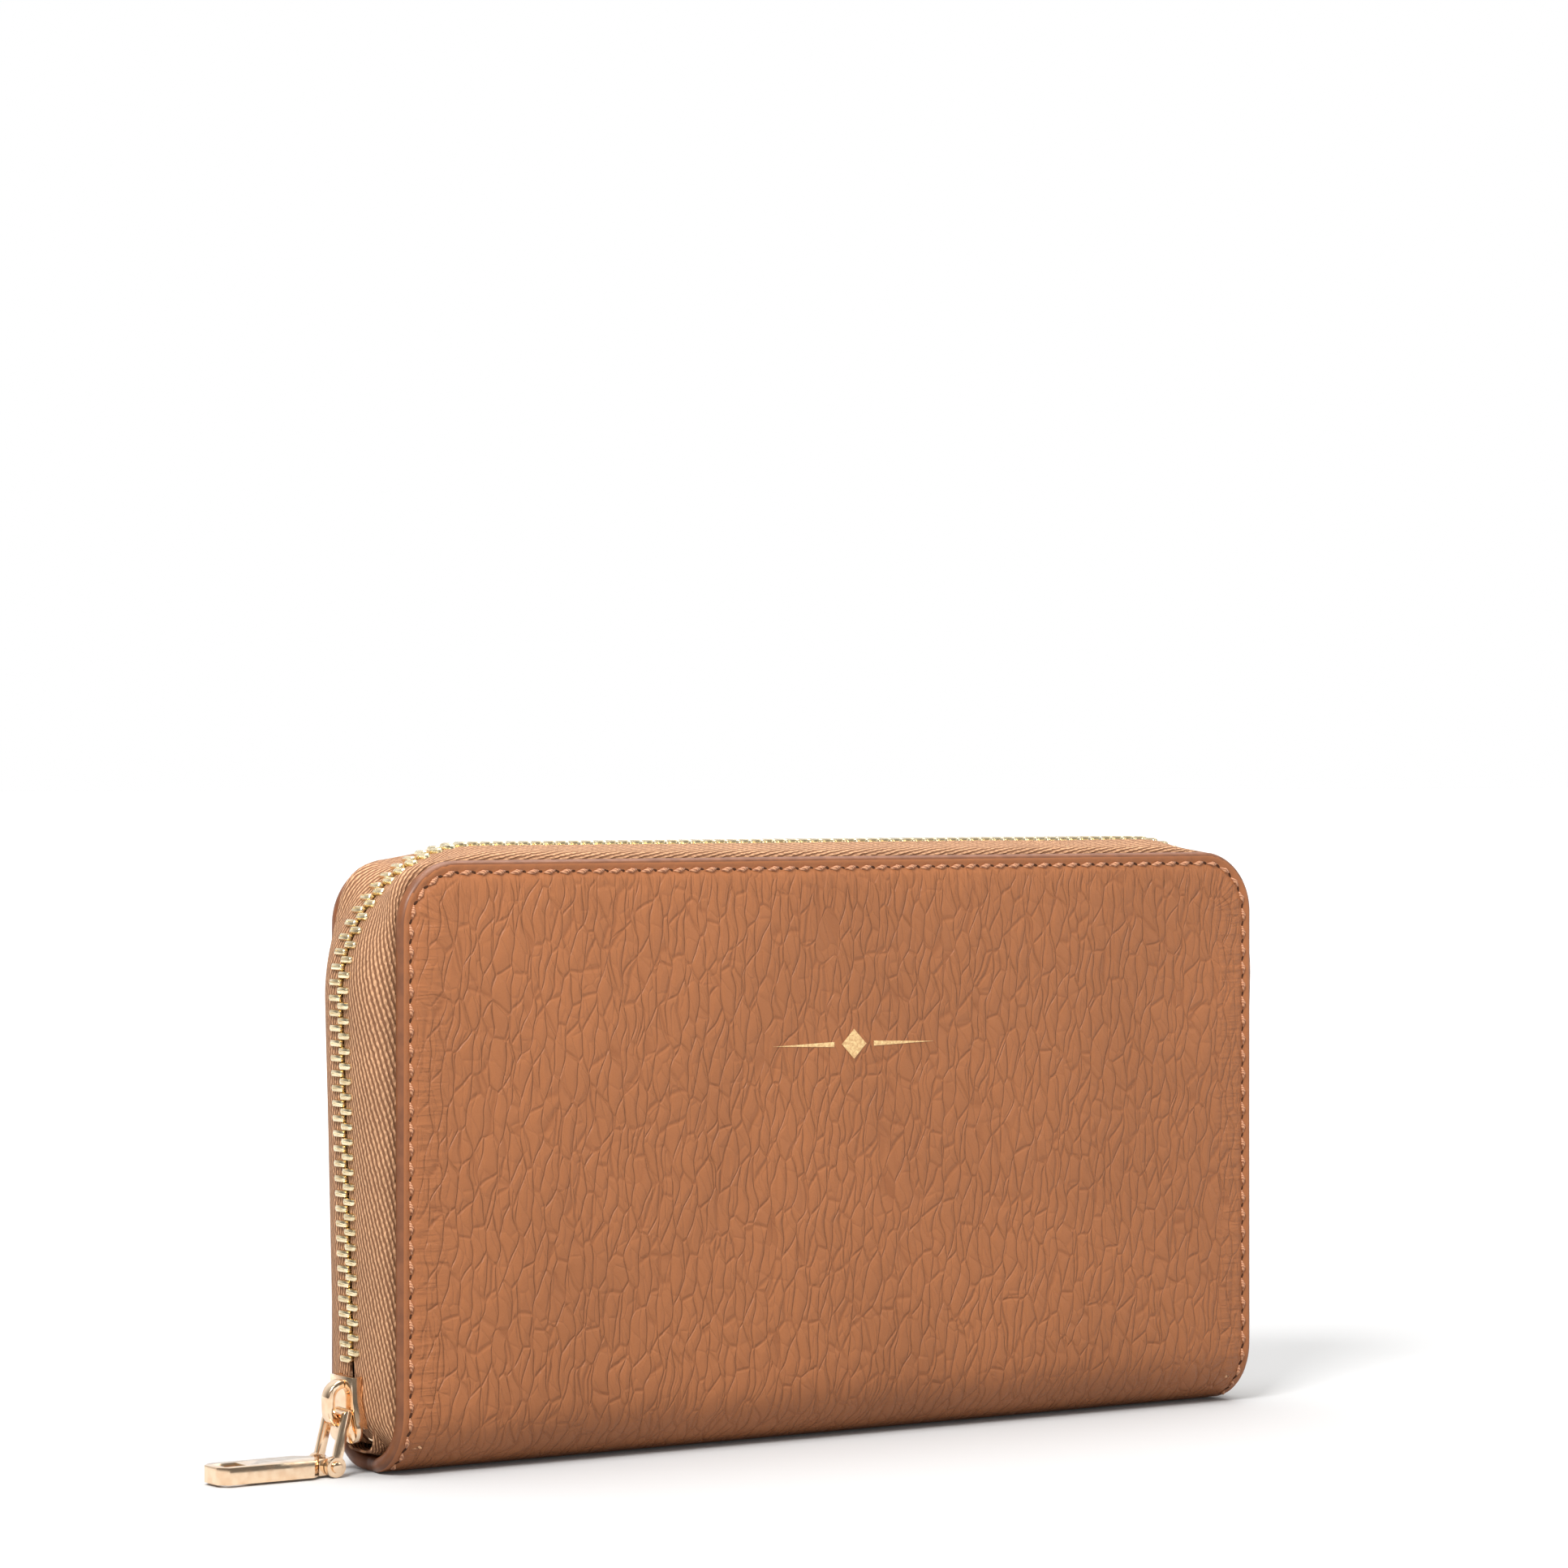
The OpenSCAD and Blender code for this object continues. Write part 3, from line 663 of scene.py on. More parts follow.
def panel_edge(x, z):
    """The place on the panel's outline nearest to (x, z), and the direction out of the panel there."""
    side = -1 if x < 0 else 1
    over_x = abs(x) - (HALF_W - CORNER_R)
    over_z = z - (TOP_Z - CORNER_R)
    if over_z <= 0:
        return Vector((side * half_width(TOP_Z - z), 0, z)), Vector((side, 0, 0))
    if over_x <= 0:
        return Vector((x, 0, TOP_Z)), Vector((0, 0, 1))
    out = Vector((side * over_x, 0, over_z)).normalized()
    return Vector((side * (HALF_W - CORNER_R), 0, TOP_Z - CORNER_R)) + out * CORNER_R, out


print("chain", round(CHAIN_L / MM, 1), "mm long")

# %% [markdown]
# ## Zip tape
# The tape is a woven strip sewn under the edge of the cover. It comes out from under the edge,
# bows over to the chain and ends in the teeth. A smooth curve through a few given points
# makes its section, which is carried along the chain, and Solidify gives it its thickness. At
# the two upper corners there is more tape than room, so it puffs out a little.

# %% Sheets and curves
def curve_point(points, t):
    """Place at t, from 0 to 1, on a smooth curve through the points."""
    last = len(points) - 1
    at = min(max(t, 0.0), 1.0) * last
    i = min(int(at), last - 1)
    f = at - i
    p0, p1 = points[max(i - 1, 0)], points[i]
    p2, p3 = points[i + 1], points[min(i + 2, last)]
    return 0.5 * (2 * p1 + (p2 - p0) * f + (2 * p0 - 5 * p1 + 4 * p2 - p3) * f * f
                  + (3 * p1 - p0 - 3 * p2 + p3) * f ** 3)


def cloth(name, columns, rows, place, size, thickness, offset=0.0):
    """A sheet whose point (a, b), each from 0 to 1, lies at place(a, b); size is its flat size."""
    clear_selection()
    bpy.ops.mesh.primitive_grid_add(x_subdivisions=columns, y_subdivisions=rows, size=2)
    sheet = bpy.context.object
    sheet.name = name
    sheet.data.name = name
    spots = [((v.co.x + 1) / 2, (v.co.y + 1) / 2) for v in sheet.data.vertices]
    layer = sheet.data.uv_layers.active or sheet.data.uv_layers.new(name="UVMap")
    for loop in sheet.data.loops:
        a, b = spots[loop.vertex_index]
        layer.data[loop.index].uv = (a * size[0], b * size[1])
    for vertex, (a, b) in zip(sheet.data.vertices, spots):
        vertex.co = place(a, b)
    area = sum(p.area for p in sheet.data.polygons)
    finish_modifier(sheet, "SOLIDIFY", thickness=thickness, offset=offset, use_rim=True)
    edit(sheet, face_outwards)
    smooth(sheet, 50)
    sheet["flat_area"] = area
    return sheet


def declare(sheet, size, held, rests_on, **more):
    area = min(sheet["flat_area"], size[0] * size[1])
    del sheet["flat_area"]


# %% Woven finish
def woven(name, warp, weft, pitch, lean, roughness=0.75):
    """Twill: slanted ribs, each made of short turns of yarn."""
    finish = Finish(name, Specular_IOR_Level=0.25)
    place = finish.place(scale=SHEET_MM, uv=True)
    waver = finish.value("ShaderNodeTexNoise", None, {"Vector": place, "Scale": 0.8}, out=1)
    along, across, _ = finish.parts(finish.shift(place, waver, 0.55))
    ribs = (across + along * lean) / pitch
    rib = (ribs * math.tau).sine() * 0.5 + 0.5
    turns = ((along / (pitch * 1.5) + ribs * 0.5) * math.tau).sine() * 0.5 + 0.5
    cloud = finish.noise(place, 0.12, 3.0)
    fuzz = finish.noise(place, 9.0, 2.0)
    weave = rib.ramp(0.05, 0.75) * (turns * 0.5 + 0.5)
    tone = finish.mix(weave.ramp(0.05, 0.85), weft, warp)
    tone = finish.mix(cloud.ramp(0.3, 0.75, 0.0, 0.22), tone, [c * 0.7 for c in weft])
    finish.colour(tone)
    finish.rough(fuzz.ramp(0.3, 0.7, roughness - 0.08, roughness + 0.1))
    finish.bump(weave + fuzz * 0.25, 0.22 * MM, 1.0)
    return finish


tape_weave = woven("tape_weave", (0.540, 0.300, 0.162), (0.180, 0.078, 0.036), 0.80, -0.28)
print("woven nodes:", len(tape_weave.nodes))


# %% Tape maker
TAIL = 5.5 * MM
TAPE_STEPS = 300


def tape_point(a, b):
    s = -TAIL + a * (CHAIN_L + 2 * TAIL)
    x, z, angle = chain(s)
    edge_spot, edge_out = panel_edge(x, z)
    below = max(0.0, -s, s - CHAIN_L) / TAIL
    side = -1 if x < 0 else 1
    out = Vector((math.cos(angle), 0, math.sin(angle)))
    sway = 0.10 * MM * noise.noise(Vector((s * 55, b * 3, 1.0)))
    puff = edge_out * 4 * (edge_out.x * edge_out.z) ** 2 * MM
    chain_spot = Vector((x, 0, z)) + out * sway
    chain_spot.x -= side * below ** 2 * 3.4 * MM
    edge_spot.x -= side * below ** 2 * 1.0 * MM
    gap = chain_spot - edge_spot
    hidden = 4 * MM
    y_tuck = FACE_Y - EDGE_T - 0.3 * MM
    y_chain = 0.75 * MM
    chain_spot += out * 0.35 * MM
    points = [
        edge_spot - edge_out * hidden + Vector((0, 0.4 * MM + HIDE_T - FACE_Y, 0)),
        edge_spot - edge_out * 1.2 * MM + Vector((0, -y_tuck, 0)),
        edge_spot + gap * 0.30 + puff * 0.9 + Vector((0, -y_tuck + 0.35 * MM, 0)),
        edge_spot + gap * 0.72 + puff * 2.0 + Vector((0, -7.6 * MM, 0)),
        edge_spot + gap * 0.95 + puff * 1.6 + Vector((0, -5.8 * MM, 0)),
        chain_spot + puff * 0.7 + Vector((0, -4.2 * MM, 0)),
        chain_spot + Vector((0, -2.4 * MM, 0)),
        chain_spot - out * 0.15 * MM + Vector((0, -y_chain, 0)),
    ]
    return curve_point(points, b)


TAPE_W = 14.5 * MM
tape_size = (CHAIN_L + 2 * TAIL, TAPE_W)
front_tape = cloth("front_tape", TAPE_STEPS, 18, tape_point, tape_size, 0.5 * MM)
back_tape = mirror_to_back(front_tape, "back_tape")
declare(front_tape, tape_size, "stretched", ["front_hide"])
declare(back_tape, tape_size, "stretched", ["back_hide"])
crease(front_tape, "front_half", "zip_tape", ["front_zip_tape"], tape_weave)
crease(back_tape, "back_half", "zip_tape", ["back_zip_tape"], tape_weave)

# %% [markdown]
# ## Polished metal
# Plated brass is nearly a mirror. What makes it look real is its bevels, which catch the light,
# and a gloss that varies a little, with faint hairlines from polishing.

# %% Metal finish
def polished(name, bright, deep, roughness):
    finish = Finish(name, Metallic=1.0, Specular_IOR_Level=0.5)
    place = finish.place(scale=SOLID_MM)
    cloud = finish.noise(place, 0.55, 3.0)
    hair_place = finish.value("ShaderNodeMapping", None, {"Vector": place, "Scale": (6.0, 0.6, 6.0)})
    hair = finish.noise(hair_place, 1.5, 2.0)
    finish.colour(finish.mix(cloud.ramp(0.32, 0.7), bright, deep))
    finish.rough(cloud.ramp(0.3, 0.7, roughness * 0.7, roughness * 1.35) + hair * 0.05)
    finish.bump(hair * 0.3 + cloud * 0.2, 0.015 * MM, 0.3)
    return finish


tooth_gold = polished("tooth_gold", (0.920, 0.790, 0.530), (0.740, 0.590, 0.350), 0.20)
rose_metal = polished("rose_metal", (0.950, 0.730, 0.510), (0.860, 0.600, 0.390), 0.10)

# %% [markdown]
# ## Teeth
# A tooth is a small bar clamped on the tape's edge, with a dimple stamped in its back. One is
# made from a cube: the edges are bevelled, the outer face is inset and pushed in. Copies of it
# stand along the chain, those of the two tapes half a pitch apart, so that they mesh.

# %% One tooth
def largest_face(thing, direction):
    """Selects only the largest face that looks along a direction."""
    facing = [p for p in thing.data.polygons if p.normal.dot(direction) > 0.9]
    best = max(facing, key=lambda p: p.area)
    for polygon in thing.data.polygons:
        polygon.select = polygon.index == best.index


def make_tooth():
    clear_selection()
    bpy.ops.mesh.primitive_cube_add(size=1)
    tooth = bpy.context.object
    tooth.scale = (2.3 * MM, 3.3 * MM, 1.25 * MM)
    tooth.location = (0.1 * MM, -1.35 * MM, 0)
    settle(tooth)
    edit(tooth, lambda: bpy.ops.mesh.bevel(offset=0.45 * MM, segments=2, profile=0.5))
    bpy.ops.object.mode_set(mode="EDIT")
    bpy.ops.mesh.select_all(action="DESELECT")
    bpy.ops.mesh.select_mode(type="FACE")
    bpy.ops.object.mode_set(mode="OBJECT")
    largest_face(tooth, Vector((1, 0, 0)))
    bpy.ops.object.mode_set(mode="EDIT")
    bpy.ops.mesh.inset(thickness=0.10 * MM, depth=0)
    bpy.ops.mesh.inset(thickness=0.05 * MM, depth=-0.12 * MM)
    bpy.ops.object.mode_set(mode="OBJECT")
    return smooth(tooth, 45)


def frame_on_chain(s):
    """A matrix that puts local X outwards and local Z along the chain at s."""
    x, z, angle = chain(s)
    out = Vector((math.cos(angle), 0, math.sin(angle)))
    across = Vector((0, 1, 0))
    turn = Matrix((out, across, out.cross(across))).transposed().to_4x4()
    return Matrix.Translation(Vector((x, 0, z))) @ turn


def repeat(model, name, places):
    """Copies of a model, each with a mesh of its own, joined into one piece."""
    copies = []
    for index, place in enumerate(places):
        copy = twin(model, f"{name}_{index}")
        copy.matrix_world = place
        copies.append(copy)
    clear_selection()
    for copy in copies:
        copy.select_set(True)
    bpy.context.view_layer.objects.active = copies[0]
    bpy.ops.object.join()
    whole = bpy.context.view_layer.objects.active
    whole.name = name
    whole.data.name = name
    return settle(whole)


tooth = make_tooth()
report(tooth)

# %% Rows of teeth
FIRST_TOOTH = 7.6 * MM
LAST_TOOTH = CHAIN_L - 2 * MM


def tooth_row(name, low, high, offset):
    count = range(math.ceil((low - offset) / TOOTH_PITCH), math.floor((high - offset) / TOOTH_PITCH) + 1)
    return repeat(tooth, name, [frame_on_chain(offset + i * TOOTH_PITCH) for i in count])


runs = {
    "left": (FIRST_TOOTH, RUN_L),
    "top": (RUN_L + 0.1 * MM, CHAIN_L - RUN_L),
    "right": (CHAIN_L - RUN_L + 0.1 * MM, LAST_TOOTH),
}
for side, (low, high) in runs.items():
    row = tooth_row(f"front_row_{side}", low, high, 0.0)
    attach(row, "front_half", tooth_gold, "zip_gold", [f"front_teeth_{side}"])
    row = tooth_row("row", low, high, TOOTH_PITCH / 2)
    back_row = mirror_to_back(row, f"back_row_{side}")
    bpy.data.objects.remove(row)
    attach(back_row, "back_half", tooth_gold, "zip_gold", [f"back_teeth_{side}"])
bpy.data.objects.remove(tooth)

# %% [markdown]
# ## Slider and pull
# The slider, its bridge, the link, the pin and the tab have to run in each other, so their
# shapes come from the mechanical model. A copy of each is merged, its flat faces are joined, and
# every edge is bevelled, because cast and polished metal has no sharp edge.

# %% Refined copies
def refined(node, name, width, segments=2, angle=25):
    piece = bpy.data.objects.new(name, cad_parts[node].data.copy())
    piece.data.name = name
    bpy.context.scene.collection.objects.link(piece)
    edit(piece,
         lambda: bpy.ops.mesh.remove_doubles(threshold=0.003 * MM),
         lambda: bpy.ops.mesh.dissolve_limited(angle_limit=math.radians(4)),
         face_outwards)
    finish_modifier(piece, "BEVEL", width=width, segments=segments, limit_method="ANGLE",
                    angle_limit=math.radians(angle), harden_normals=False, use_clamp_overlap=True)
    return smooth(piece, 40)


attach(refined("slider_body", "slider_plates", 0.28 * MM), "slider", rose_metal, "rose_gold", ["slider_body"])
attach(refined("slider_bridge", "slider_arch", 0.35 * MM, 3), "slider", rose_metal, "rose_gold",
       ["slider_bridge"])
attach(refined("pull_link", "link", 0.22 * MM), "pull_link", rose_metal, "rose_gold", ["pull_link"])
attach(refined("link_pin", "pin", 0.14 * MM), "pull_link", rose_metal, "rose_gold", ["link_pin"])
attach(refined("pull_tab", "tab", 0.5 * MM, 3), "pull_tab", rose_metal, "rose_gold", ["pull_tab"])
attach(refined("zip_bottom_stop", "bottom_stop", 0.4 * MM), "spine", tooth_gold, "zip_gold",
       ["zip_bottom_stop"])

# %% [markdown]
# ## Stitches
# The cover is sewn to the tape with a slightly slanted stitch, about eight to the inch. A stitch
# is a short bowed thread, so one is made from a cylinder with rounded ends, and copies lie along
# the line. Between them the needle leaves a small slot in the leather; its shade is painted, by a near black
# ellipsoid half sunk in the leather there.

# %% Stitch line
SEAM_TURN = CORNER_R - STITCH_IN
SEAM_CORNER = HALF_W - CORNER_R


def seam(t):
    """Place (u, s) on the hide of the seam at the distance t from the top's middle."""
    far = abs(t)
    if far < SEAM_CORNER:
        return t, STITCH_IN
    angle = (far - SEAM_CORNER) / SEAM_TURN
    if angle < math.pi / 2:
        return (math.copysign(SEAM_CORNER + SEAM_TURN * math.sin(angle), t),
                CORNER_R - SEAM_TURN * math.cos(angle))
    s = CORNER_R + (far - SEAM_CORNER - SEAM_TURN * math.pi / 2)
    return math.copysign(half_width(s) - STITCH_IN, t), s


SEAM_HALF = SEAM_CORNER + SEAM_TURN * math.pi / 2 + FLAT_S + 1.15 * BEND_R - CORNER_R


def frame_on_seam(t, lift, slant=0.0):
    """A matrix that puts local Z along the seam and local X out of the leather."""
    def spot(q):
        u, s = seam(q)
        return wrap(u, s, relief(u, s) + lift)

    u, s = seam(t)
    step = 0.4 * MM
    along = (spot(t + step) - spot(t - step)).normalized()
    out = (wrap(u, s, MM) - wrap(u, s, 0)).normalized()
    out = (out - along * out.dot(along)).normalized()
    side = along.cross(out)
    turn = Matrix((out, side, along)).transposed().to_4x4()
    return Matrix.Translation(spot(t)) @ turn @ Matrix.Rotation(slant, 4, "X")


def thread_finish():
    finish = Finish("waxed_thread", Specular_IOR_Level=0.3, Sheen_Weight=0.1, Sheen_Roughness=0.4)
    place = finish.place(scale=SOLID_MM)
    x, y, z = finish.parts(place)
    twist = ((x + y + z * 1.6) * 7.5).sine() * 0.5 + 0.5
    cloud = finish.noise(place, 0.5, 2.0)
    tone = finish.mix(twist.ramp(0.1, 0.8), (0.260, 0.100, 0.048), (0.540, 0.265, 0.140))
    finish.colour(finish.mix(cloud.ramp(0.4, 0.8, 0.0, 0.25), tone, (0.34, 0.16, 0.10)))
    finish.rough(cloud.ramp(0.3, 0.7, 0.45, 0.6))
    finish.bump(twist, 0.06 * MM, 0.7)
    return finish


thread = thread_finish()
# Painted shade: a near black colour for the inside of the needle holes, where no light reaches.
needle_hole_shade = Finish("painted_needle_shade", Roughness=0.9, Specular_IOR_Level=0.1)
hole_cloud = needle_hole_shade.noise(needle_hole_shade.place(scale=SOLID_MM), 2.0)
needle_hole_shade.colour(needle_hole_shade.mix(hole_cloud, (0.035, 0.014, 0.008), (0.075, 0.030, 0.016)))


def make_stitch():
    clear_selection()
    bpy.ops.mesh.primitive_cylinder_add(vertices=8, radius=0.44 * MM, depth=2.3 * MM)
    stitch = bpy.context.object
    edit(stitch, lambda: bpy.ops.mesh.subdivide(number_cuts=1))
    for vertex in stitch.data.vertices:
        end = abs(vertex.co.z) / (1.15 * MM)
        thin = math.sqrt(max(1 - end ** 4, 0.0)) * 0.75 + 0.25
        vertex.co.x = vertex.co.x * thin * 0.85 - end ** 2 * 0.22 * MM
        vertex.co.y *= thin
    return smooth(stitch, 80)


# A dark ellipsoid, half sunk in the leather, that paints the shade inside one needle hole.
def make_hole_shade():
    clear_selection()
    bpy.ops.mesh.primitive_ico_sphere_add(subdivisions=2, radius=1)
    slot = bpy.context.object
    slot.scale = (0.14 * MM, 0.30 * MM, 0.72 * MM)
    return smooth(settle(slot), 80)


stitch = make_stitch()
slot = make_hole_shade()
count = int(SEAM_HALF / STITCH_PITCH)
stitch_spots = [i * STITCH_PITCH for i in range(-count, count + 1)]
front_seam = repeat(stitch, "front_seam", [frame_on_seam(t, 0.14 * MM, 0.16) for t in stitch_spots])
front_hole_shades = repeat(slot, "front_needle_hole_shades",
                     [frame_on_seam(t + STITCH_PITCH / 2, 0.0, -0.5) for t in stitch_spots[:-1]])
back_seam = mirror_to_back(front_seam, "back_seam")
back_hole_shades = mirror_to_back(front_hole_shades, "back_needle_hole_shades")
bpy.data.objects.remove(stitch)
bpy.data.objects.remove(slot)
crease(front_seam, "front_half", "thread", ["front_stitching"], thread)
crease(back_seam, "back_half", "thread", ["back_stitching"], thread)
crease(front_hole_shades, "front_half", "leather", finish=needle_hole_shade)
crease(back_hole_shades, "back_half", "leather", finish=needle_hole_shade)

# %% [markdown]
# ## Lining
# Inside, a twill lining covers the boards and runs on round the spine. It is made like the
# cover, from the same unrolled coordinates, only further in. Along the rim it steps inwards,
# over the tape that is sewn under the edge.

# %% Linings
lining_weave = woven("lining_twill", (0.360, 0.200, 0.105), (0.200, 0.095, 0.048), 0.6, 0.9, 0.8)
LINING_IN = 2.0 * MM


def lining_point(a, b):
    s = LINING_IN + b * (END_S - LINING_IN)
    u = (2 * a - 1) * max(half_width(s, LINING_IN), 10 * MM)
    ripple = 0.10 * MM * noise.noise(Vector((u * 45, s * 35, 8.0)))
    over_tape = 0.95 * MM * (1 - ease(rim(u, s)[0], 2.0 * MM, 5.0 * MM))
    return wrap(u, s, ripple - HIDE_T - 0.45 * MM - over_tape)


lining_size = (2 * (HALF_W - LINING_IN), END_S - LINING_IN)
front_cloth = cloth("front_lining_cloth", 90, 90, lining_point, lining_size, 0.4 * MM)
back_cloth = mirror_to_back(front_cloth, "back_lining_cloth")
declare(front_cloth, lining_size, "stretched", ["front_hide"])
declare(back_cloth, lining_size, "stretched", ["back_hide"])
crease(front_cloth, "front_half", "lining", ["front_lining", "spine_lining"], lining_weave)
crease(back_cloth, "back_half", "lining", ["back_lining"], lining_weave)

# %% [markdown]
# ## Card slots
# Each half has four leather panels, one in front of the other, each lower than the last. A card
# slot's top edge is turned over and pressed, which leaves a small rounded bead.

# %% Card slot panels
# As on the cover, the second colour is painted shade for the grain's grooves.
card_leather = leather("card_leather", (0.380, 0.165, 0.080), (0.180, 0.062, 0.026), 0.5, 0.48)
for half, sign in (("front", -1), ("back", 1)):
    for number in range(1, 5):
        low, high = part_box(f"{half}_card_slot_{number}")
        size = (high.x - low.x, high.z - low.z)
        middle = (low.y + high.y) / 2

        def card_point(a, b, low=low, high=high, middle=middle, sign=sign):
            x = low.x + a * (high.x - low.x)
            z = low.z + b * (high.z - low.z)
            top = high.z - z
            edge_x = min(x - low.x, high.x - x)
            dip = 0.8 * MM * math.exp(-edge_x / (12 * MM)) * math.exp(-top / (2 * MM))
            bead = 0.10 * MM * bell(top - 0.7 * MM, 0.6 * MM)
            return Vector((x, middle - sign * bead, z - dip * 0.4))

        panel = cloth(f"{half}_card_panel_{number}", 60, 40, card_point, size, 0.38 * MM)
        declare(panel, size, "stretched", [f"{half}_lining_cloth"])
        attach(panel, f"{half}_half", card_leather, "slot_leather", [f"{half}_card_slot_{number}"])

# %% [markdown]
# ## Gussets
# At each end a strip of cloth, folded inwards, joins a half to the coin pocket, so that the
# wallet opens like an accordion and nothing falls out. It stretches between the spine's body
# and the half's; here it only has its place put into its mesh.

# %% Gussets
def gusset_path(node):
    """Points (x, y) of the folded strip, from the half to the pocket, drawn front left."""
    low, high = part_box(node)
    outer, inner = low.x + 0.35 * MM, high.x - 0.5 * MM
    deep = (low.y + high.y) / 2
    return [Vector((outer, low.y + 0.1 * MM, 0)), Vector((outer + 0.6 * MM, low.y + 2.2 * MM, 0)),
            Vector((inner - 4 * MM, deep - 0.35 * MM, 0)), Vector((inner, deep + 0.15 * MM, 0)),
            Vector((inner - 3 * MM, deep + 1.0 * MM, 0)), Vector((outer + 6 * MM, high.y - 0.3 * MM, 0))]


path = gusset_path("gusset_front_left")
foot, head = (corner.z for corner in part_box("gusset_front_left"))


def gusset_point(a, b):
    spot = curve_point(path, a).copy()
    spot.z = foot + b * (head - foot)
    spot.x += 0.3 * MM * math.sin(b * 9) * math.sin(a * math.pi)
    return spot


gusset_size = (31 * MM, head - foot)
front_left = cloth("front_left_bellows", 50, 24, gusset_point, gusset_size, 0.4 * MM)


def mirror_to_right(thing, name):
    return mirrored(thing, name, 0)


front_right = mirror_to_right(front_left, "front_right_bellows")
bellows = {"gusset_front_left": front_left, "gusset_front_right": front_right,
           "gusset_back_left": mirror_to_back(front_left, "back_left_bellows"),
           "gusset_back_right": mirror_to_back(front_right, "back_right_bellows")}
for node, strip in bellows.items():
    half = "front" if "front" in node else "back"
    sign = -1 if half == "front" else 1
    declare(strip, gusset_size, "folded", [f"{half}_lining_cloth"])
    wear(strip, lining_weave)
    sign * 3.4 * MM
    sign * 9.3 * MM
    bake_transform(strip)
    label(strip, "lining", [node])

# %% [markdown]
# ## Coin pocket
# A zipped pocket stands on the spine between the halves. Its two walls are lined leather, a
# strip closes the ends and the bottom, and a small zip runs along its top.

# %% Coin pocket walls
wall_low, wall_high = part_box("coin_front_wall")


def wall_point(a, b):
    x = wall_low.x + a * (wall_high.x - wall_low.x)
    z = wall_low.z + 0.5 * MM + b * (wall_high.z - wall_low.z - 0.5 * MM)
    wave = 0.08 * MM * noise.noise(Vector((x * 40, z * 40, 3.0)))
    return Vector((x, (wall_low.y + wall_high.y) / 2 + wave, z))


wall_size = (wall_high.x - wall_low.x, wall_high.z - wall_low.z - 0.5 * MM)
front_wall = cloth("pocket_front_wall", 80, 40, wall_point, wall_size, 0.6 * MM)
back_wall = mirror_to_back(front_wall, "pocket_back_wall")

strip_low, strip_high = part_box("coin_side_strip")
in_x, in_z, round_off = strip_high.x - 0.5 * MM, strip_low.z + 0.5 * MM, 4 * MM
strip_path = [Vector((-in_x, 0, strip_high.z)), Vector((-in_x, 0, 60 * MM)), Vector((-in_x, 0, 30 * MM)),
              Vector((-in_x, 0, in_z + round_off)), Vector((-in_x + 1.2 * MM, 0, in_z + 1.2 * MM)),
              Vector((-in_x + round_off, 0, in_z)), Vector((-40 * MM, 0, in_z)), Vector((0, 0, in_z))]
strip_path += [Vector((-p.x, 0, p.z)) for p in reversed(strip_path[:-1])]
strip_size = (2 * (in_x + strip_high.z - in_z) - 3 * MM, strip_high.y - strip_low.y)


def strip_point(a, b):
    return curve_point(strip_path, a) + Vector((0, strip_low.y + b * strip_size[1], 0))


pocket_strip = cloth("pocket_edge_strip", 140, 6, strip_point, strip_size, 0.7 * MM)
del pocket_strip["flat_area"]
declare(front_wall, wall_size, "stretched", ["front_lining_cloth"], with_pieces=[pocket_strip])
declare(back_wall, wall_size, "stretched", ["back_lining_cloth"])
attach(front_wall, "spine", card_leather, "lining", ["coin_front_wall"])
attach(back_wall, "spine", card_leather, "lining", ["coin_back_wall"])
attach(pocket_strip, "spine", lining_weave, "lining", ["coin_side_strip"])

# %% Coin pocket zip
coin_tape_low, coin_tape_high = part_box("coin_zip_tape_front")
chain_z = coin_tape_high.z - 0.2 * MM
tape_y = coin_tape_low.y + 0.2 * MM
coin_section = [Vector((0, tape_y, coin_tape_low.z)), Vector((0, tape_y, coin_tape_low.z + 4 * MM)),
                Vector((0, tape_y, chain_z - 1.2 * MM)), Vector((0, tape_y + 0.5 * MM, chain_z)),
                Vector((0, -1.6 * MM, chain_z))]
coin_tape_size = (coin_tape_high.x - coin_tape_low.x, 11.2 * MM)


def coin_tape_point(a, b):
    return curve_point(coin_section, b) + Vector((coin_tape_low.x + a * coin_tape_size[0], 0, 0))


coin_front_tape = cloth("pocket_front_tape", 60, 14, coin_tape_point, coin_tape_size, 0.34 * MM)
coin_back_tape = mirror_to_back(coin_front_tape, "pocket_back_tape")
declare(coin_front_tape, coin_tape_size, "stretched", ["pocket_front_wall"])
declare(coin_back_tape, coin_tape_size, "stretched", ["pocket_back_wall"])
attach(coin_front_tape, "spine", tape_weave, "zip_tape", ["coin_zip_tape_front"])
attach(coin_back_tape, "spine", tape_weave, "zip_tape", ["coin_zip_tape_back"])
for node, name in (("coin_teeth_front", "pocket_front_teeth"), ("coin_teeth_back", "pocket_back_teeth")):
    attach(refined(node, name, 0.22 * MM, 1), "spine", tooth_gold, "zip_gold", [node])
attach(refined("coin_slider", "pocket_slider", 0.22 * MM), "coin_slider", tooth_gold, "zip_gold",
       ["coin_slider"])
attach(refined("coin_slider_bridge", "pocket_arch", 0.2 * MM), "coin_slider", tooth_gold, "zip_gold",
       ["coin_slider_bridge"])
attach(refined("coin_pull", "pocket_pull", 0.25 * MM), "coin_pull", tooth_gold, "zip_gold", ["coin_pull"])

# %% [markdown]
# ## Tape tails
# Below the chain's foot the two tapes are joined and folded down into the end of the spine. The
# fold makes a small dark pocket there, open to the end.

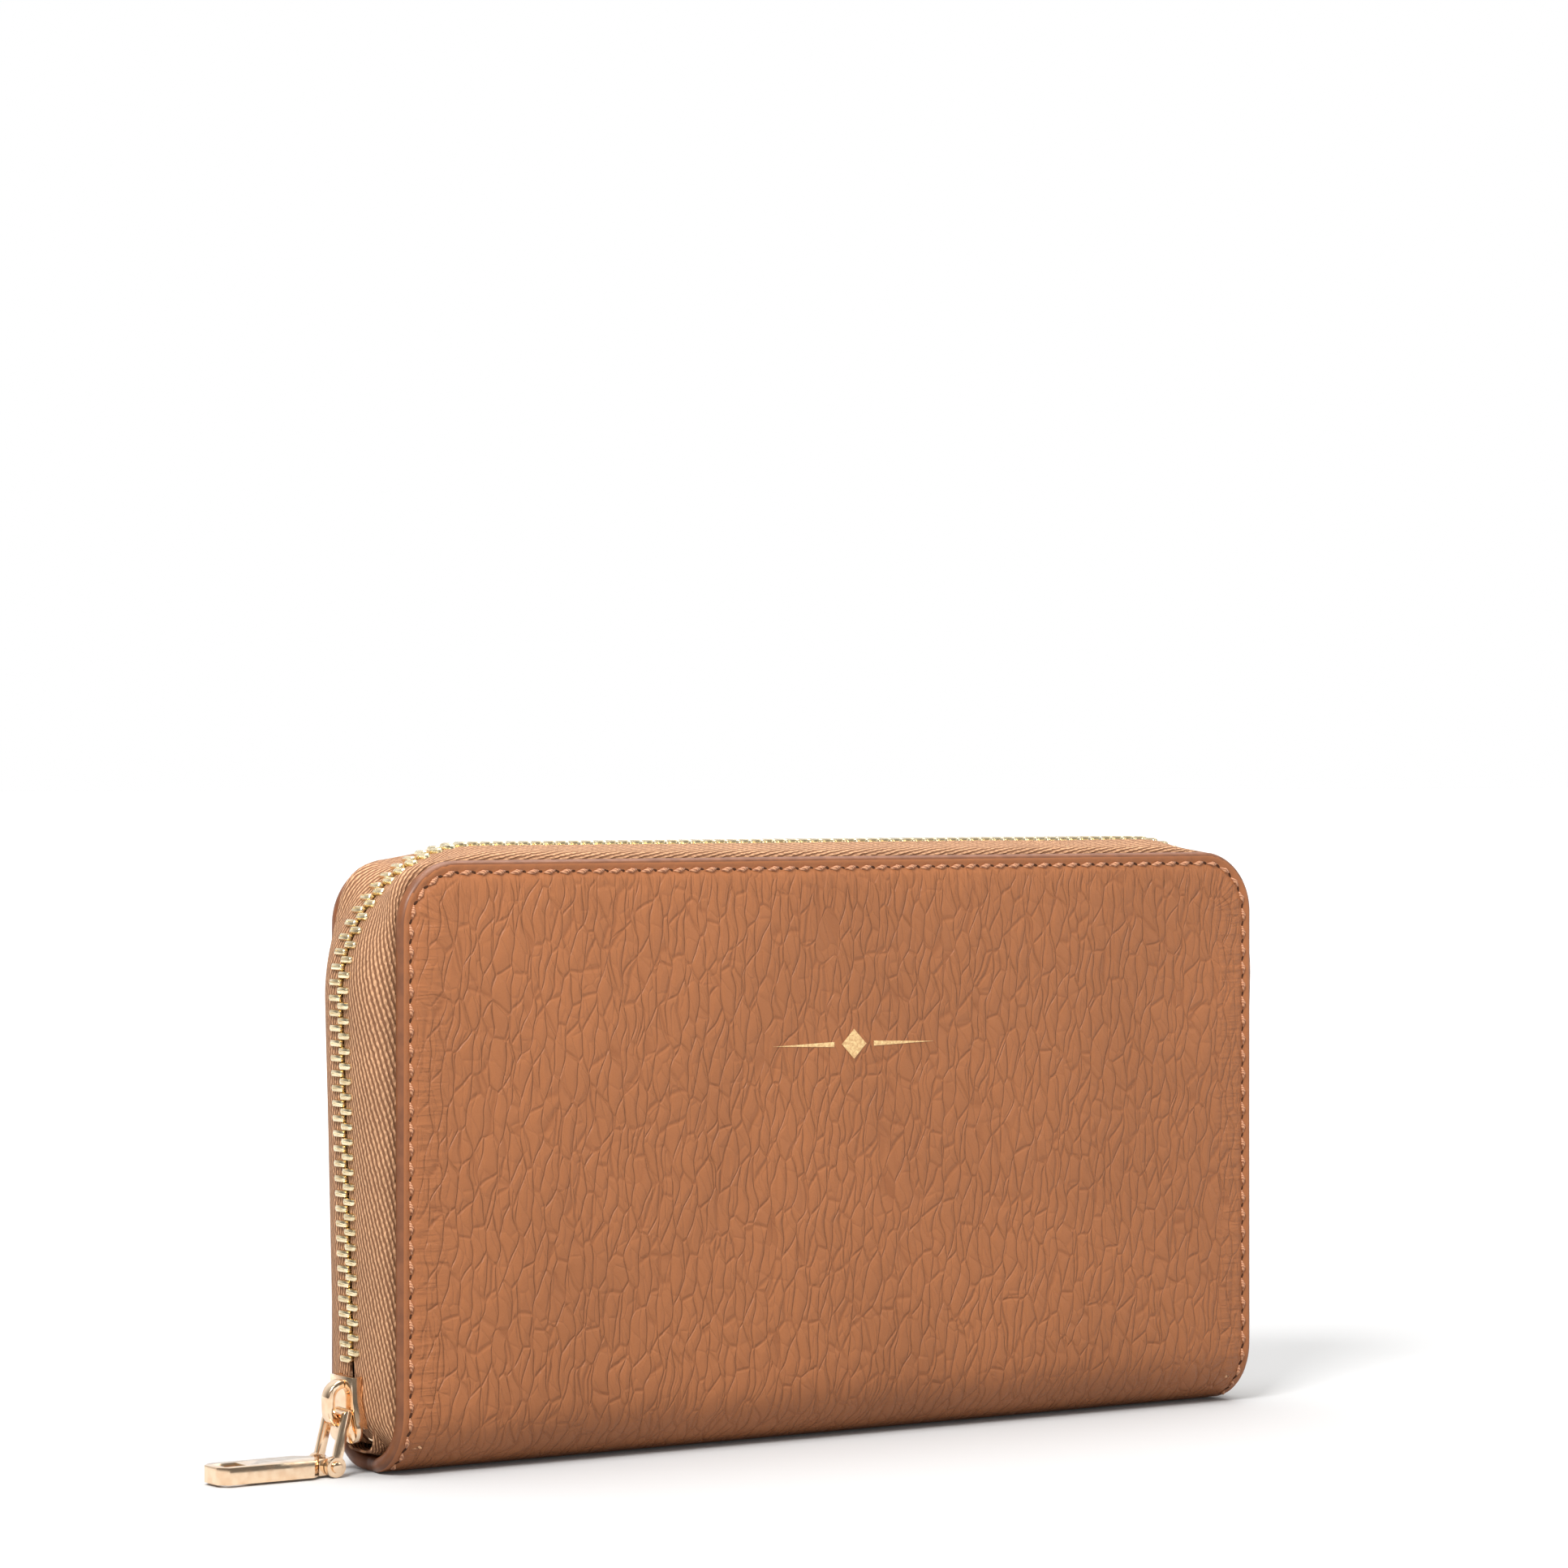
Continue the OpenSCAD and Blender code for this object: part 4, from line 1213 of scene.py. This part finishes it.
# %% Tails
def tail_point(a, b):
    """a runs across from the front to the back, b from the chain's foot into the wallet."""
    turn = (a - 0.5) * math.pi
    half_y = 5.2 * MM * (1 - 0.25 * b)
    depth = 5.4 * MM * (1 - b) ** 1.4
    y = half_y * math.copysign(abs(math.sin(turn)) ** 0.6, turn)
    rise = depth * (1 - abs(math.cos(turn)) ** 0.6)
    x = -HALF_W - 1.4 * MM + 8.0 * MM * b + 0.5 * MM * math.cos(turn)
    return Vector((x, y, 2.7 * MM + rise + 0.9 * MM * (1 - b)))


tail_size = (17 * MM, 10.2 * MM)
left_tail = cloth("left_tail", 36, 14, tail_point, tail_size, 0.4 * MM)
right_tail = mirror_to_right(left_tail, "right_tail")
for tail, node in ((left_tail, "left_zip_tail"), (right_tail, "right_zip_tail")):
    declare(tail, tail_size, "folded", ["front_lining_cloth"])
    attach(tail, "spine", tape_weave, "zip_tape", [node])

# %% [markdown]
# ## Foil mark
# Wallets of this kind carry a small foil stamp on the front. This one is a plain ornament: a
# lozenge between two tapering rules. It is cut out of a thin plate and laid on the leather.

# %% Ornament
MARK_Z = 69 * MM


def foil_finish():
    finish = Finish("gold_foil", Metallic=0.9, Specular_IOR_Level=0.5)
    place = finish.place(scale=SOLID_MM)
    wear = finish.noise(place, 1.8, 3.0)
    finish.colour(finish.mix(wear.ramp(0.35, 0.65), (0.860, 0.610, 0.300), (0.650, 0.400, 0.190)))
    finish.rough(wear.ramp(0.3, 0.7, 0.24, 0.42))
    finish.bump(wear, 0.05 * MM, 0.6)
    return finish


def mark_piece(name, low_x, high_x, half_height, taper):
    """A thin plate laid on the leather, from low_x to high_x; taper(t) scales its height."""
    def place(a, b):
        u = low_x + a * (high_x - low_x)
        height = half_height * taper(a)
        s = TOP_Z - MARK_Z + (1 - 2 * b) * height
        return wrap(u, s, relief(u, s) + 0.03 * MM)

    plate = cloth(name, 24, 4, place, (high_x - low_x, 2 * half_height), 0.05 * MM, 1.0)
    del plate["flat_area"]
    return plate


marks = [
    mark_piece("mark_middle", -2.6 * MM, 2.6 * MM, 2.6 * MM, lambda t: max(1 - abs(2 * t - 1), 0.02)),
    mark_piece("mark_left", -17 * MM, -4.2 * MM, 0.45 * MM, lambda t: max(t, 0.05)),
    mark_piece("mark_right", 4.2 * MM, 17 * MM, 0.45 * MM, lambda t: max(1 - t, 0.05)),
]
attach(join("foil_mark", marks), "front_half", foil_finish(), "zip_gold")

# %% [markdown]
# ## Studio
# A soft key light from the left and above, a broad light overhead and a weak fill from the right.
# The sweep is mid grey, lit until it looks nearly white, so that the wallet's soft shadow shows
# on it, and it glows further away, so that no horizon shows. The world is bright behind the
# wallet and darker behind the camera, which gives the metal something to reflect besides white.

# %% Floor and lights
clear_selection()
bpy.ops.mesh.primitive_plane_add(size=60, location=(0, 0, -0.02 * MM))
floor = bpy.context.object
floor.name = "floor"
settle(floor)
sweep = Finish("sweep", Roughness=0.9, Specular_IOR_Level=0.05, Emission_Strength=0.9)
sweep_cloud = sweep.noise(sweep.place(), 3.0)
white = sweep.mix(sweep_cloud, (0.47, 0.468, 0.466), (0.45, 0.448, 0.446))
sweep.colour(white)
distance = sweep.value("ShaderNodeVectorMath", {"operation": "LENGTH"}, {0: sweep.place()}, out=1)
glow = sweep.mix(distance.ramp(0.15, 1.0), (0.02, 0.02, 0.02), (1.0, 1.0, 1.0))
sweep.set(sweep.shader.inputs["Emission Color"], glow)
floor.data.materials.append(sweep.material)

world = bpy.data.worlds.new("studio")
bpy.context.scene.world = world
world.use_nodes = True
sky_nodes, sky_links = world.node_tree.nodes, world.node_tree.links
background = sky_nodes["Background"]
direction = sky_nodes.new("ShaderNodeTexCoord")


def sky_band(axis, low, high, out_low, out_high):
    """A brightness that goes smoothly from one value to another across the sky, along an axis."""
    facing = sky_nodes.new("ShaderNodeVectorMath")
    facing.operation = "DOT_PRODUCT"
    facing.inputs[1].default_value = axis
    spread = sky_nodes.new("ShaderNodeMapRange")
    spread.interpolation_type = "SMOOTHSTEP"
    for key, value in (("From Min", low), ("From Max", high), ("To Min", out_low), ("To Max", out_high)):
        spread.inputs[key].default_value = value
    sky_links.new(direction.outputs["Generated"], facing.inputs[0])
    sky_links.new(facing.outputs["Value"], spread.inputs["Value"])
    return spread.outputs[0]


ahead = sky_band((0.565, 0.825, 0.0), 0.1, 0.7, 0.0, 1.0)
above = sky_band((0.0, 0.0, 1.0), 0.05, 0.65, 0.14, 0.60)
brighter = sky_nodes.new("ShaderNodeMath")
brighter.operation = "MAXIMUM"
sky_links.new(ahead, brighter.inputs[0])
sky_links.new(above, brighter.inputs[1])
sky_links.new(brighter.outputs[0], background.inputs["Strength"])
background.inputs["Color"].default_value = (1, 1, 1, 1)


def soft_light(name, place, aim, size, power):
    lamp = bpy.data.lights.new(name, "AREA")
    lamp.shape = "RECTANGLE"
    lamp.size, lamp.size_y = size
    lamp.energy = power
    light = bpy.data.objects.new(name, lamp)
    bpy.context.scene.collection.objects.link(light)
    light.location = place
    light.rotation_euler = (Vector(aim) - Vector(place)).to_track_quat("-Z", "Y").to_euler()
    return light


soft_light("key", (-0.95, -0.65, 1.10), (0, 0, 0.04), (0.45, 0.45), 30)
soft_light("fill", (0.9, -1.0, 0.5), (0, 0, 0.05), (0.7, 0.7), 3)
soft_light("top", (0.1, 0.1, 1.1), (0, 0, 0), (1.2, 1.0), 16)
bpy.context.scene.view_settings.view_transform = "Standard"
